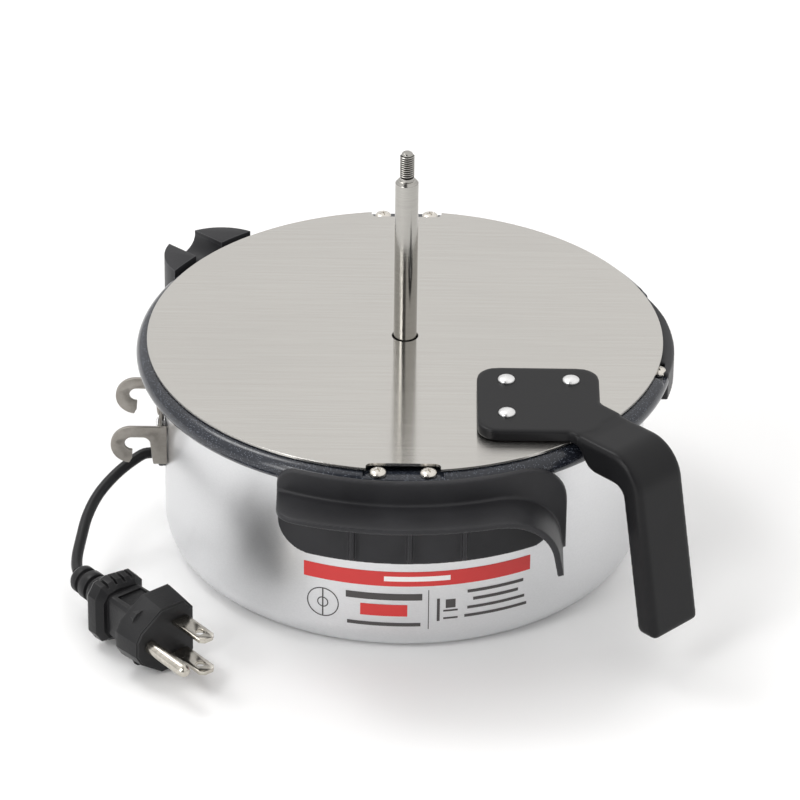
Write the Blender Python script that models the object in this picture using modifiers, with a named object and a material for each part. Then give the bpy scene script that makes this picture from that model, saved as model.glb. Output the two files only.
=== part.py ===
"""Electric kettle of a table-top popcorn machine.

A non-stick pan with a rolled rim hangs in a drawn metal casing. Under the pan are the heater and its
controls; a stirrer runs in a bush in the pan's floor and is driven from above by its threaded shaft.
The flat lid slides up the shaft by its own handle. Moulded lugs and a pair of steel hooks carry the
kettle in its machine, and a short lead plugs into the machine's socket.

Metres, +Z up. The origin is on the shaft's axis, on the flat underside that the kettle rests on.
"""
import bpy
import bmesh
from math import asin, cos, degrees, pi, radians, sin, sqrt
from mathutils import Matrix, Vector

MM = 0.001
GAP = 0.3 * MM               # clearance between pieces that touch
RUN = 0.4 * MM               # running clearance of the shaft
ROUND_STEPS = 48             # sides of the large turned pieces
SMALL_STEPS = 16             # sides of rivets, screws and pins

# ---- driving dimensions -------------------------------------------------------------------------
LID_TOP = 77.0 * MM          # height of the lid's top face
LID_T = 1.0 * MM
LID_OVER = 0.3 * MM          # lid's edge beyond the rim's centre circle
NOTCH_IN = 3.9 * MM          # flats of the lid's two notches, inside the rim's centre circle
NOTCH_W = 25.0 * MM

BEAD_R = 88.7 * MM           # centre circle of the pan's rolled rim
BEAD_TUBE = 4.0 * MM
PAN_WALL = 1.6 * MM
PAN_FLOOR = 44.0 * MM        # height of the pan's cooking surface
PAN_CORNER = 9.0 * MM
FLANGE_DROP = 2.8 * MM       # pan's flange below the crest of the bead

RIM_CLEAR = 1.4 * MM         # between the casing and the inside of the rolled rim
CASING_CLEAR = 3.3 * MM      # between the casing's outside and the pan's wall
CASING_WALL = 0.8 * MM
CASING_FLOOR = 1.0 * MM
CASING_CORNER = 10.0 * MM

SHAFT_R = 4.0 * MM
SHAFT_ABOVE_LID = 61.0 * MM
THREAD_R = 2.5 * MM
THREAD_LENGTH = 10.5 * MM
LID_HOLE_CLEAR = 0.9 * MM    # round the shaft

BUSH_WALL = 1.6 * MM
BUSH_FLANGE = 3.0 * MM       # its flange beyond its stem
BUSH_RISE = 3.5 * MM
BUSH_STEM = 19.0 * MM        # stem below the pan's cooking surface

STIR_END_CLEAR = 7.4 * MM    # between the blade's ends and the pan's wall
STIR_HUB_WALL = 3.2 * MM
STIR_HUB_H = 10.0 * MM
STIR_BLADE_T = 2.0 * MM
STIR_BLADE_H = 5.0 * MM
STIR_FLOOR_GAP = 1.2 * MM

PLATE_T = 3.0 * MM           # heat spreader under the pan
PLATE_IN = 14.0 * MM         # its edge inside the pan's wall
ELEMENT_IN = 16.0 * MM       # the tubular element's centre circle, inside the spreader's edge
ELEMENT_TUBE = 3.3 * MM
CLAMP_OUT = 8.0 * MM         # the clamp's edge beyond the element's centre circle
CLAMP_T = 1.5 * MM
CLAMP_WINDOW_R = 9.0 * MM
PAD_T = 3.0 * MM
PAD_IN = 15.3 * MM           # the pad's edge inside the casing

SCREW_HEAD_R = 2.85 * MM
SCREW_HEAD_H = 1.9 * MM
SCREW_SHANK_R = 1.5 * MM
SCREW_LENGTH = 9.0 * MM
RIM_SCREW_X = 8.4 * MM       # half the spacing of each pair of rim screws
RIM_SCREW_IN = 0.1 * MM      # their circle, inside the rim's centre circle
TAB_DROP = 1.1 * MM          # the bead is pressed flat this far under its crest at the tabs
TAB_W = 27.0 * MM
LUG_TAB_DROP = 2.2 * MM

RIVET_HEAD_R = 2.95 * MM
RIVET_HEAD_H = 1.5 * MM
RIVET_SHANK_R = 1.5 * MM

HOLDER_T = 2.0 * MM          # wall of the moulded holders
HOLDER_TOP = LID_TOP - 1.5 * MM
HOLDER_LOW = LID_TOP - 39.4 * MM
SHELF_DROP = 0.9 * MM        # shelf's top below the web's
SHELF_T = 2.1 * MM
SHELF_OUT = 15.3 * MM        # its outer edge beyond the rim
SHELF_SHIFT = 2.0 * MM       # the shelf's outer edge is struck from this far in front of the axis
HOLDER_X0 = -42.0 * MM
HOLDER_X1 = 55.0 * MM
SHELF_FLAT_X = 31.0 * MM     # the shelf curls down from here
SHELF_CURL_R = 22.0 * MM
SHELF_END_DROP = 26.0 * MM
REAR_HALF_W = 34.0 * MM      # half the width of the rear holder
RIB_X = (-17.0 * MM, 2.5 * MM, 21.0 * MM)
RIB_T = 1.6 * MM

HANDLE_T = 4.1 * MM
PLATE_X = 41.5 * MM          # the handle's plate on the lid
PLATE_Y = 42.5 * MM
PLATE_CORNER = 7.0 * MM
HANDLE_ANGLE = radians(-45.0)
HANDLE_W = 21.5 * MM
GRIP_DROP = 59.5 * MM        # the grip's end below the lid
GRIP_LEAN = radians(10.5)
GRIP_T = 8.6 * MM

HOOK_Y = 16.5 * MM
HOOK_T = 1.5 * MM
HOOK_TOP = LID_TOP - 28.3 * MM
HOOK_ARM = 4.0 * MM
HOOK_EYE_OUT = 10.9 * MM     # the eye's centre beyond the casing
HOOK_EYE_R = 7.1 * MM
HOOK_SLOT_R = 2.6 * MM
HOOK_FOOT_T = 3.2 * MM       # the foot against the casing
HOOK_PLATE_T = 1.2 * MM
HOOK_PLATE_H = 7.2 * MM
HOOK_DEPTH = 14.6 * MM       # height of the foot on the casing

LUG_ANGLE = radians(139.0)
LUG_OUT = 14.3 * MM          # its outer side beyond the rim
LUG_HALF_W = 20.0 * MM
LUG_CORNER = 15.0 * MM
LUG_TOP = LID_TOP - 1.0 * MM
LUG_DEPTH = 22.0 * MM
GROOVE_R = 6.6 * MM
GROOVE_DEPTH = 8.0 * MM

SIDE_LUG_FROM = radians(-18.0)
SIDE_LUG_TO = radians(25.0)
SIDE_LUG_LIP_FROM = radians(-8.5)
SIDE_LUG_T = 1.6 * MM
SIDE_LUG_LOW = LID_TOP - 21.0 * MM
SIDE_SCREW_ANGLE = radians(-11.6)

CORD_R = 1.95 * MM
CORD_Y = -7.2 * MM
CORD_Z = 32.6 * MM
BUSHING_R = 4.6 * MM
BUSHING_FLANGE_R = 6.0 * MM
BUSHING_NOSE = 2.0 * MM

PLUG_FACE = Vector((-74.7, -93.3, 13.7)) * MM     # midway between the two flat blades
PLUG_ANGLE = radians(-50.5)
BLADE_PITCH = 12.7 * MM
BLADE_W = 6.35 * MM
BLADE_T = 1.52 * MM
BLADE_LENGTH = 16.8 * MM
BLADE_HOLE_R = 1.6 * MM
BLADE_HOLE_X = 11.7 * MM
PIN_R = 2.38 * MM
PIN_OFFSET = 11.9 * MM
PIN_LENGTH = 20.6 * MM
PLUG_MIDDLE = 5.0 * MM       # the plug's own axis, towards the ground pin from the blades
PLUG_SKIRT = 11.0 * MM
PLUG_LENGTH = 31.0 * MM
PLUG_HALF_W = 12.7 * MM
PLUG_HALF_H = 13.2 * MM
RELIEF_R = 5.7 * MM
RELIEF_LENGTH = 18.5 * MM

# ---- sizes that follow ---------------------------------------------------------------------------
LID_UNDER = LID_TOP - LID_T
LID_R = BEAD_R + LID_OVER
NOTCH_Y = BEAD_R - NOTCH_IN
RIM_SCREW_R = BEAD_R - RIM_SCREW_IN
BEAD_CREST = LID_UNDER - GAP
BEAD_Z = BEAD_CREST - BEAD_TUBE
BEAD_BOTTOM = BEAD_Z - BEAD_TUBE
BEAD_OUT = BEAD_R + BEAD_TUBE
FAR = 1.5 * BEAD_OUT                  # reach of a cut that passes everything
CASING_R = BEAD_R - BEAD_TUBE - RIM_CLEAR
PAN_R = CASING_R - CASING_CLEAR       # outside of the pan's wall
FLANGE_TOP = BEAD_CREST - FLANGE_DROP
FLANGE_UNDER = FLANGE_TOP - PAN_WALL
PAN_IN = PAN_R - PAN_WALL
PAN_UNDER = PAN_FLOOR - PAN_WALL
CASING_TOP = FLANGE_UNDER - GAP
CASING_IN = CASING_R - CASING_WALL
STIR_REACH = PAN_IN - STIR_END_CLEAR
LID_HOLE_R = SHAFT_R + LID_HOLE_CLEAR
BUSH_BORE_R = SHAFT_R + RUN
BUSH_STEM_R = BUSH_BORE_R + BUSH_WALL
BUSH_R = BUSH_STEM_R + BUSH_FLANGE
STIR_BORE_R = SHAFT_R + GAP
STIR_HUB_R = STIR_BORE_R + STIR_HUB_WALL
PLATE_R = PAN_R - PLATE_IN
ELEMENT_R = PLATE_R - ELEMENT_IN
CLAMP_R = ELEMENT_R + CLAMP_OUT
PAD_R = CASING_R - PAD_IN
SHELF_R = BEAD_OUT + SHELF_OUT
LUG_REACH = BEAD_OUT + LUG_OUT
LUG_LOW = LUG_TOP - LUG_DEPTH
HOOK_EYE_X = -CASING_R - HOOK_EYE_OUT
HOOK_FOOT = HOOK_TOP - HOOK_DEPTH
GRIP_BOTTOM = LID_TOP - GRIP_DROP
HANDLE_UNDER = LID_TOP + GAP
HANDLE_TOP = HANDLE_UNDER + HANDLE_T
PLATE_TOP = PAN_UNDER - GAP
PLATE_UNDER = PLATE_TOP - PLATE_T
ELEMENT_Z = PLATE_UNDER - GAP - ELEMENT_TUBE
CLAMP_TOP = ELEMENT_Z - ELEMENT_TUBE - GAP
CLAMP_UNDER = CLAMP_TOP - CLAMP_T
BUSH_TOP = PAN_FLOOR + BUSH_RISE
TAB_Z = BEAD_CREST - TAB_DROP
LUG_TAB_Z = BEAD_CREST - LUG_TAB_DROP
HOLDER_IN = BEAD_OUT + GAP            # inside of a holder's upper wall, round the bead
HOLDER_OUT = HOLDER_IN + HOLDER_T
FOOT_IN = CASING_R + GAP              # inside of a holder's lower wall, on the casing
FOOT_OUT = FOOT_IN + HOLDER_T
WEB_TOP = BEAD_BOTTOM - GAP           # top of the web that joins the two, under the bead
WEB_T = 3.0 * MM
SHELF_TOP = WEB_TOP - SHELF_DROP

MODEL = bpy.data.collections.new("popcorn_kettle")
CUTTERS = bpy.data.collections.new("cutters")
MATERIALS = {}


# ---- materials -----------------------------------------------------------------------------------
def finish(name, colour, roughness, metallic):
    material = bpy.data.materials.new(name)
    material.use_nodes = True
    shader = material.node_tree.nodes["Principled BSDF"]
    shader.inputs["Base Color"].default_value = (*colour, 1.0)
    shader.inputs["Roughness"].default_value = roughness
    shader.inputs["Metallic"].default_value = metallic
    material.diffuse_color = (*colour, 1.0)
    MATERIALS[name] = material


def make_finishes():
    finish("brushed_stainless", (0.60, 0.58, 0.55), 0.32, 1.0)
    finish("satin_casing", (0.70, 0.71, 0.72), 0.38, 1.0)
    finish("speckled_nonstick", (0.035, 0.038, 0.048), 0.38, 0.0)
    finish("black_phenolic", (0.026, 0.026, 0.028), 0.52, 0.0)
    finish("hook_steel", (0.36, 0.34, 0.32), 0.5, 1.0)
    finish("bright_screw", (0.72, 0.70, 0.66), 0.25, 1.0)
    finish("rivet_aluminium", (0.80, 0.80, 0.79), 0.35, 1.0)
    finish("ground_shaft", (0.58, 0.56, 0.53), 0.25, 1.0)
    finish("black_cord", (0.02, 0.02, 0.022), 0.45, 0.0)
    finish("plated_blade", (0.66, 0.62, 0.55), 0.28, 1.0)
    finish("cast_aluminium", (0.55, 0.55, 0.55), 0.55, 1.0)
    finish("element_sheath", (0.30, 0.28, 0.26), 0.45, 1.0)
    finish("glass_fibre", (0.78, 0.76, 0.68), 0.9, 0.0)
    finish("ceramic", (0.82, 0.80, 0.75), 0.6, 0.0)
    finish("brass_bush", (0.60, 0.45, 0.22), 0.35, 1.0)
    finish("wire_sleeve", (0.55, 0.53, 0.48), 0.7, 0.0)


# ---- modelling helpers ---------------------------------------------------------------------------
def add(name, data, material=None):
    """Put a new object in the model, or among the cutters when it has no material."""
    item = bpy.data.objects.new(name, data)
    if material is None:
        CUTTERS.objects.link(item)
        item.hide_render = True
        item.display_type = "WIRE"
    else:
        MODEL.objects.link(item)
        data.materials.append(MATERIALS[material])
    return item


def mesh_of(name, build):
    """A mesh filled by build(bm)."""
    shape = bmesh.new()
    build(shape)
    mesh = bpy.data.meshes.new(name)
    shape.to_mesh(mesh)
    shape.free()
    return mesh


def smooth(item, angle=35.0):
    item.data.shade_smooth()
    item.data.set_sharp_from_angle(angle=radians(angle))
    return item


def turned(name, profile, material=None, steps=ROUND_STEPS):
    """A profile of (radius, height) turned about Z. It runs down the outer side."""
    closed = profile[0][0] > 1e-6 or profile[-1][0] > 1e-6

    def build(shape):
        points = [shape.verts.new((r, 0.0, z)) for r, z in profile]
        for first, second in zip(points, points[1:]):
            shape.edges.new((first, second))
        if closed:
            shape.edges.new((points[-1], points[0]))

    item = add(name, mesh_of(name, build), material)
    screw = item.modifiers.new("turn", "SCREW")
    screw.steps = screw.render_steps = steps
    screw.use_merge_vertices = True
    screw.merge_threshold = 0.00001
    screw.use_smooth_shade = True
    return item


def box(name, low, high, material=None, place=Matrix()):
    """A box between two corners, then placed by a matrix."""
    low, high = Vector(low), Vector(high)
    size = Matrix.Diagonal((*(high - low), 1.0))
    fitted = place @ Matrix.Translation((low + high) / 2.0) @ size

    def build(shape):
        bmesh.ops.create_cube(shape, size=1.0, matrix=fitted)

    return add(name, mesh_of(name, build), material)


def cylinder(name, radius, start, end, material=None, steps=SMALL_STEPS, end_radius=None):
    """A round bar or cone between two points."""
    start, end = Vector(start), Vector(end)
    along = end - start
    turn = along.to_track_quat("Z", "Y").to_matrix().to_4x4()
    place = Matrix.Translation((start + end) / 2.0) @ turn
    last = radius if end_radius is None else end_radius

    def build(shape):
        bmesh.ops.create_cone(shape, cap_ends=True, segments=steps, radius1=radius, radius2=last,
                              depth=along.length, matrix=place)

    return add(name, mesh_of(name, build), material)


def arc(centre, radius, start, end, count):
    """Points on an arc, both ends included; angles in degrees, counter-clockwise when end > start."""
    angles = [radians(start + (end - start) * i / count) for i in range(count + 1)]
    return [(centre[0] + radius * cos(a), centre[1] + radius * sin(a)) for a in angles]


def rounded_rectangle(x0, y0, x1, y1, radii, count=5):
    """Outline from the lower-left corner round, with radii lower-left, lower-right, upper-right, upper-left."""
    corners = ((x0, y0, 180), (x1, y0, 270), (x1, y1, 0), (x0, y1, 90))
    signs = ((1, 1), (-1, 1), (-1, -1), (1, -1))
    outline = []
    for (x, y, start), (sx, sy), radius in zip(corners, signs, radii):
        outline += arc((x + sx * radius, y + sy * radius), radius, start, start + 90, count)
    return outline


FLAT = Matrix()                                          # outline (x, y), thickness along Z
UPRIGHT = Matrix(((1, 0, 0, 0), (0, 0, -1, 0), (0, 1, 0, 0), (0, 0, 0, 1)))   # outline (x, z)


def prism(name, outline, near, far, material=None, place=FLAT):
    """A flat outline given thickness from near to far, along its normal, then placed by a matrix."""
    curve = bpy.data.curves.new(name, "CURVE")
    curve.dimensions = "2D"
    curve.fill_mode = "BOTH"
    curve.extrude = abs(far - near) / 2.0
    line = curve.splines.new("POLY")
    line.points.add(len(outline) - 1)
    for point, (x, y) in zip(line.points, outline):
        point.co = (x, y, 0.0, 1.0)
    line.use_cyclic_u = True
    sheet = add(name + "_outline", curve)
    sheet.matrix_world = place @ Matrix.Translation((0.0, 0.0, (near + far) / 2.0))
    return solid_of(name, sheet, material)


def solid_of(name, sheet, material):
    """The welded mesh of a curve object, which it replaces."""
    view = bpy.context.evaluated_depsgraph_get()
    view.update()
    mesh = bpy.data.meshes.new_from_object(sheet.evaluated_get(view))
    mesh.materials.clear()
    shape = bmesh.new()
    shape.from_mesh(mesh)
    bmesh.ops.remove_doubles(shape, verts=shape.verts, dist=0.000001)
    bmesh.ops.transform(shape, matrix=sheet.matrix_world, verts=shape.verts)
    bmesh.ops.recalc_face_normals(shape, faces=shape.faces)
    shape.to_mesh(mesh)
    shape.free()
    curve = sheet.data
    bpy.data.objects.remove(sheet, do_unlink=True)
    bpy.data.curves.remove(curve)
    return add(name, mesh, material)


def wire(name, points, radius, material, resolution=2):
    """A round tube along points, with closed ends."""
    curve = bpy.data.curves.new(name, "CURVE")
    curve.dimensions = "3D"
    curve.bevel_depth = radius
    curve.bevel_resolution = resolution
    curve.use_fill_caps = True
    line = curve.splines.new("POLY")
    line.points.add(len(points) - 1)
    for point, place in zip(line.points, points):
        point.co = (*place, 1.0)
    return add(name, curve, material)


def smooth_route(points, step):
    """Points a step apart on a smooth curve (centripetal Catmull-Rom) through the given points."""
    points = [Vector(p) for p in points]
    padded = [2 * points[0] - points[1]] + points + [2 * points[-1] - points[-2]]
    dense = []
    for a, b, c, d in zip(padded, padded[1:], padded[2:], padded[3:]):
        knots = [0.0]
        for first, second in ((a, b), (b, c), (c, d)):
            knots.append(knots[-1] + sqrt((second - first).length))
        for i in range(24):
            t = knots[1] + (knots[2] - knots[1]) * i / 24.0
            ab = a.lerp(b, (t - knots[0]) / (knots[1] - knots[0]))
            bc = b.lerp(c, (t - knots[1]) / (knots[2] - knots[1]))
            cd = c.lerp(d, (t - knots[2]) / (knots[3] - knots[2]))
            abc = ab.lerp(bc, (t - knots[0]) / (knots[2] - knots[0]))
            bcd = bc.lerp(cd, (t - knots[1]) / (knots[3] - knots[1]))
            dense.append(abc.lerp(bcd, (t - knots[1]) / (knots[2] - knots[1])))
    dense.append(points[-1])
    length = sum((q - p).length for p, q in zip(dense, dense[1:]))
    count = max(2, round(length / step))
    spaced, walked, wanted = [dense[0]], 0.0, length / count
    for p, q in zip(dense, dense[1:]):
        run = (q - p).length
        while walked + run >= wanted - 1e-9 and len(spaced) < count:
            spaced.append(p.lerp(q, (wanted - walked) / run))
            wanted += length / count
        walked += run
    return spaced + [dense[-1]]


def combine(item, tool, operation):
    """One Boolean modifier; the tool stays among the cutters."""
    step = item.modifiers.new(tool.name, "BOOLEAN")
    step.operation = operation
    step.object = tool
    step.solver = "EXACT"
    return item


def cut(item, *tools):
    for tool in tools:
        combine(item, tool, "DIFFERENCE")
    return item


def join(item, *tools):
    for tool in tools:
        combine(item, tool, "UNION")
    return item


def keep(item, tool):
    return combine(item, tool, "INTERSECT")


def ring(name, inner, outer, low, high, material=None, steps=ROUND_STEPS):
    """A plain flat-ended ring."""
    return turned(name, [(outer, high), (outer, low), (inner, low), (inner, high)], material, steps)


def wedge(name, start, end, reach, low, high):
    """A sector of a disc, used to keep part of a ring."""
    outline = [(0.0, 0.0)] + arc((0.0, 0.0), reach, degrees(start), degrees(end), 12)
    return prism(name, outline, low, high)


def polar(radius, angle, height):
    return Vector((radius * cos(angle), radius * sin(angle), height))


# ---- pan and casing ------------------------------------------------------------------------------
def make_pan():
    """Pan with a flat floor, a short flange and a rolled rim, pressed flat at the screw tabs."""
    meet_low = degrees(asin((FLANGE_UNDER - BEAD_Z) / BEAD_TUBE))
    meet_top = degrees(asin((FLANGE_TOP - BEAD_Z) / BEAD_TUBE))
    bead = arc((BEAD_R, BEAD_Z), BEAD_TUBE, 90.0, -180.0 - meet_low, 11)
    shoulder = arc((BEAD_R, BEAD_Z), BEAD_TUBE, 180.0 - meet_top, 90.0, 3)[:-1]
    inner_corner = PAN_CORNER - PAN_WALL
    profile = bead
    profile += [(PAN_R, FLANGE_UNDER)]
    profile += arc((PAN_R - PAN_CORNER, PAN_UNDER + PAN_CORNER), PAN_CORNER, 0.0, -90.0, 3)
    profile += [(BUSH_STEM_R + GAP, PAN_UNDER), (BUSH_STEM_R + GAP, PAN_FLOOR)]
    profile += arc((PAN_IN - inner_corner, PAN_FLOOR + inner_corner), inner_corner, -90.0, 0.0, 3)
    profile += [(PAN_IN, FLANGE_TOP)]
    profile += shoulder
    pan = turned("inner_pan", profile, "speckled_nonstick")
    for side, name in ((-1.0, "front"), (1.0, "back")):
        low, high = sorted((side * (NOTCH_Y - MM), side * (BEAD_OUT + BEAD_TUBE)))
        cut(pan, box(name + "_tab_cut", (-TAB_W / 2.0, low, TAB_Z), (TAB_W / 2.0, high, LID_TOP)))
    side_tab = ring("side_tab_ring", BEAD_R - BEAD_TUBE, BEAD_OUT + BEAD_TUBE, LUG_TAB_Z, LID_TOP)
    keep(side_tab, wedge("side_tab_wedge", SIDE_LUG_FROM + radians(2.0), SIDE_LUG_TO + radians(0.5),
                         FAR, LUG_TAB_Z - MM, LID_TOP + MM))
    cut(pan, side_tab)
    for name, place in rim_screws():
        cut(pan, cylinder(name + "_hole", SCREW_SHANK_R + GAP, place + Vector((0, 0, -SCREW_LENGTH)),
                          place + Vector((0, 0, MM))))
    return pan


def rim_screws():
    """Name of each screw through the rim, and its place on the rim under the head."""
    screws = []
    for side, name in ((-1.0, "front"), (1.0, "back")):
        for x, end in ((-RIM_SCREW_X, "left"), (RIM_SCREW_X, "right")):
            y = side * sqrt(RIM_SCREW_R ** 2 - x ** 2)
            screws.append((f"rim_screw_{name}_{end}", Vector((x, y, TAB_Z))))
    screws.append(("rim_screw_side_lug", polar(BEAD_R, SIDE_SCREW_ANGLE, LUG_TAB_Z)))
    return screws


def make_rim_screws():
    """Pan-head screws that go down through the rim into the moulded holders."""
    for name, place in rim_screws():
        head = arc((0.0, 0.0), 1.0, 90.0, 0.0, 3)
        profile = [(SCREW_HEAD_R * x, GAP + SCREW_HEAD_H * (0.35 + 0.65 * z)) for x, z in head]
        profile += [(SCREW_HEAD_R, GAP), (SCREW_SHANK_R, GAP), (SCREW_SHANK_R, 0.6 * MM - SCREW_LENGTH),
                    (0.0, -SCREW_LENGTH)]
        profile[0] = (0.0, profile[0][1])
        screw = turned(name, profile, "bright_screw", SMALL_STEPS)
        screw.location = place
        for turn in (0.0, pi / 2.0):
            half = SCREW_HEAD_R * 0.55
            slot = box(f"{name}_slot_{turn:.0f}", (-half, -0.35 * MM, GAP + SCREW_HEAD_H - 0.7 * MM),
                       (half, 0.35 * MM, GAP + 2.0 * SCREW_HEAD_H),
                       place=Matrix.Translation(place) @ Matrix.Rotation(turn + 0.4, 4, "Z"))
            cut(screw, slot)


def make_casing():
    """Drawn casing, open at the top, with a hole for the lead and two for the hook bracket's rivets."""
    inner = CASING_CORNER - CASING_WALL
    profile = [(CASING_R, CASING_TOP)]
    profile += arc((CASING_R - CASING_CORNER, CASING_CORNER), CASING_CORNER, 0.0, -90.0, 5)
    profile += [(0.0, 0.0), (0.0, CASING_FLOOR)]
    profile += arc((CASING_IN - inner, CASING_FLOOR + inner), inner, -90.0, 0.0, 5)
    profile += [(CASING_IN, CASING_TOP)]
    casing = turned("outer_casing", profile, "satin_casing")
    reach = (CASING_R + 3.0 * MM, CASING_IN - 3.0 * MM)
    cut(casing, cylinder("lead_hole", BUSHING_R + GAP, (-reach[0], CORD_Y, CORD_Z),
                         (-reach[1], CORD_Y, CORD_Z)))
    for name, y, z in hook_rivets():
        cut(casing, cylinder(name + "_hole", RIVET_SHANK_R + GAP, (-reach[0], y, z), (-reach[1], y, z)))
    return casing


# ---- heater and controls under the pan -----------------------------------------------------------
def make_heater():
    """Spreader plate, tubular element with its two pins, and the plate that clamps it."""
    stem = BUSH_STEM_R + GAP
    ring("heat_spreader", stem, PLATE_R, PLATE_UNDER, PLATE_TOP, "cast_aluminium", 48)
    opening = radians(32.0)
    count = 40
    sweep = [pi + opening / 2.0 + (2.0 * pi - opening) * i / count for i in range(count + 1)]
    wire("heating_element", [polar(ELEMENT_R, a, ELEMENT_Z) for a in sweep], ELEMENT_TUBE,
         "element_sheath", 2)
    clamp = ring("element_clamp", stem, CLAMP_R, CLAMP_UNDER, CLAMP_TOP, "cast_aluminium", 48)
    middle = (stem + CLAMP_R) / 2.0
    for i in range(6):
        angle = pi / 6.0 + i * pi / 3.0
        cut(clamp, cylinder(f"clamp_window_{i}", CLAMP_WINDOW_R,
                            polar(middle, angle, CLAMP_UNDER - MM),
                            polar(middle, angle, CLAMP_TOP + MM), steps=10))
    for sign, name in ((1.0, "live"), (-1.0, "neutral")):
        angle = pi + sign * opening / 2.0
        end = polar(ELEMENT_R, angle, ELEMENT_Z)
        along = Vector((sin(angle), -cos(angle), 0.0)) * sign
        cylinder(f"element_pin_{name}", 1.3 * MM, end + along * GAP, end + along * 8.0 * MM,
                 "plated_blade", 12)


def make_controls():
    """Thermostat on the clamp, thermal fuse, terminal block, earth screw and insulation."""
    below = CLAMP_UNDER - GAP
    centre = Vector((30.0 * MM, -12.0 * MM, 0.0))
    body = turned("thermostat", [(0.0, 0.0), (8.0 * MM, 0.0), (8.0 * MM, -3.0 * MM),
                                 (7.0 * MM, -3.0 * MM), (7.0 * MM, -9.0 * MM), (0.0, -9.0 * MM)],
                  "ceramic", 24)
    body.location = centre + Vector((0, 0, below))
    for i, side in enumerate((-1.0, 1.0)):
        tab = centre + Vector((side * 4.0 * MM, 0.0, below - 9.0 * MM - GAP))
        box(f"thermostat_tab_{i + 1}", tab + Vector((-0.4 * MM, -2.4 * MM, -7.0 * MM)),
            tab + Vector((0.4 * MM, 2.4 * MM, 0.0)), "plated_blade")
    fuse_z = below - 2.5 * MM
    cylinder("thermal_fuse", 2.2 * MM, (-26.0 * MM, 20.0 * MM, fuse_z), (-12.0 * MM, 20.0 * MM, fuse_z),
             "wire_sleeve", 14)
    block_top = below - 3.0 * MM
    block = box("terminal_block", (-60.0 * MM, -14.0 * MM, block_top - 12.0 * MM),
                (-48.0 * MM, 14.0 * MM, block_top), "ceramic")
    for i in range(3):
        y = (i - 1) * 8.5 * MM
        cut(block, cylinder(f"terminal_well_{i}", 2.2 * MM, (-54.0 * MM, y, block_top - 7.0 * MM),
                            (-54.0 * MM, y, block_top + MM), steps=12))
        cylinder(f"terminal_screw_{i + 1}", 1.8 * MM, (-54.0 * MM, y, block_top - 6.5 * MM),
                 (-54.0 * MM, y, block_top - 1.5 * MM), "bright_screw", 12)
    pad_top = CASING_FLOOR + GAP + PAD_T
    ring("insulation_pad", 4.0 * MM, PAD_R, CASING_FLOOR + GAP, pad_top, "glass_fibre", 40)


def make_bush():
    """Brass bush in the pan's floor: the shaft's foot runs in its blind bore; a nut holds it below."""
    foot = PAN_FLOOR - 6.0 * MM
    profile = [(BUSH_R, BUSH_TOP), (BUSH_R, PAN_FLOOR + GAP), (BUSH_STEM_R, PAN_FLOOR + GAP),
               (BUSH_STEM_R, PAN_FLOOR - BUSH_STEM), (0.0, PAN_FLOOR - BUSH_STEM), (0.0, foot),
               (BUSH_BORE_R, foot), (BUSH_BORE_R, BUSH_TOP)]
    turned("pan_bush", profile, "brass_bush", 32)
    nut_top = CLAMP_UNDER - GAP
    nut = cylinder("bush_nut", BUSH_STEM_R + 4.5 * MM, (0, 0, nut_top - 4.0 * MM), (0, 0, nut_top),
                   "brass_bush", 6)
    cut(nut, cylinder("nut_bore", BUSH_STEM_R + GAP, (0, 0, nut_top - 6.0 * MM), (0, 0, nut_top + MM),
                      steps=32))
    return foot


# ---- stirrer -------------------------------------------------------------------------------------
def make_stirrer(foot):
    """Ground shaft with a shouldered M5 end, and the blade that sweeps the pan's floor."""
    shoulder = LID_TOP + SHAFT_ABOVE_LID
    tip = shoulder + THREAD_LENGTH
    chamfer = 1.1 * MM
    pitch = 0.8 * MM
    groove = 0.45 * MM
    neck = 1.2 * MM              # plain and full width, so that the shoulder is open all round
    tip_bevel = 0.6 * MM
    profile = [(0.0, tip), (THREAD_R - tip_bevel, tip), (THREAD_R, tip - tip_bevel)]
    turns = int((THREAD_LENGTH - neck - tip_bevel) / pitch)
    for i in range(turns):
        z = tip - tip_bevel - i * pitch
        profile += [(THREAD_R - groove, z - pitch / 2.0), (THREAD_R, z - pitch)]
    profile += [(THREAD_R, shoulder), (SHAFT_R - chamfer, shoulder), (SHAFT_R, shoulder - chamfer)]
    bottom = foot + 0.5 * MM
    profile += [(SHAFT_R, bottom + MM), (SHAFT_R - MM, bottom), (0.0, bottom)]
    shaft = turned("stir_shaft", profile, "ground_shaft", 20)
    hub_low = BUSH_TOP + RUN + 0.6 * MM
    hub_top = hub_low + STIR_HUB_H
    low = PAN_FLOOR + STIR_FLOOR_GAP
    rise = hub_low + 1.5 * MM - low
    inner = BUSH_R + 1.5 * MM
    half = [(STIR_REACH, low), (STIR_REACH, low + STIR_BLADE_H),
            (inner + rise, low + STIR_BLADE_H), (inner, low + rise + STIR_BLADE_H)]
    outline = half + [(-x, z) for x, z in reversed(half)] + [(-inner - rise, low), (-inner, low + rise),
                                                           (inner, low + rise), (inner + rise, low)]
    blade = prism("stir_blade", outline, -STIR_BLADE_T / 2.0, STIR_BLADE_T / 2.0, "brushed_stainless",
                  UPRIGHT)
    join(blade, cylinder("stir_hub", STIR_HUB_R, (0, 0, hub_low), (0, 0, hub_top), steps=32))
    cut(blade, cylinder("hub_bore", STIR_BORE_R, (0, 0, hub_low - MM), (0, 0, hub_top + MM), steps=32))
    pin_z = hub_top - 2.6 * MM
    pin_r = 1.2 * MM
    reach = STIR_HUB_R + 0.8 * MM
    for item in (blade, shaft):
        cut(item, cylinder(item.name + "_pin_hole", pin_r + 0.1 * MM, (0, -2 * reach, pin_z),
                           (0, 2 * reach, pin_z), steps=16))
    cylinder("stir_pin", pin_r, (0, -reach, pin_z), (0, reach, pin_z), "bright_screw", 16)


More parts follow.
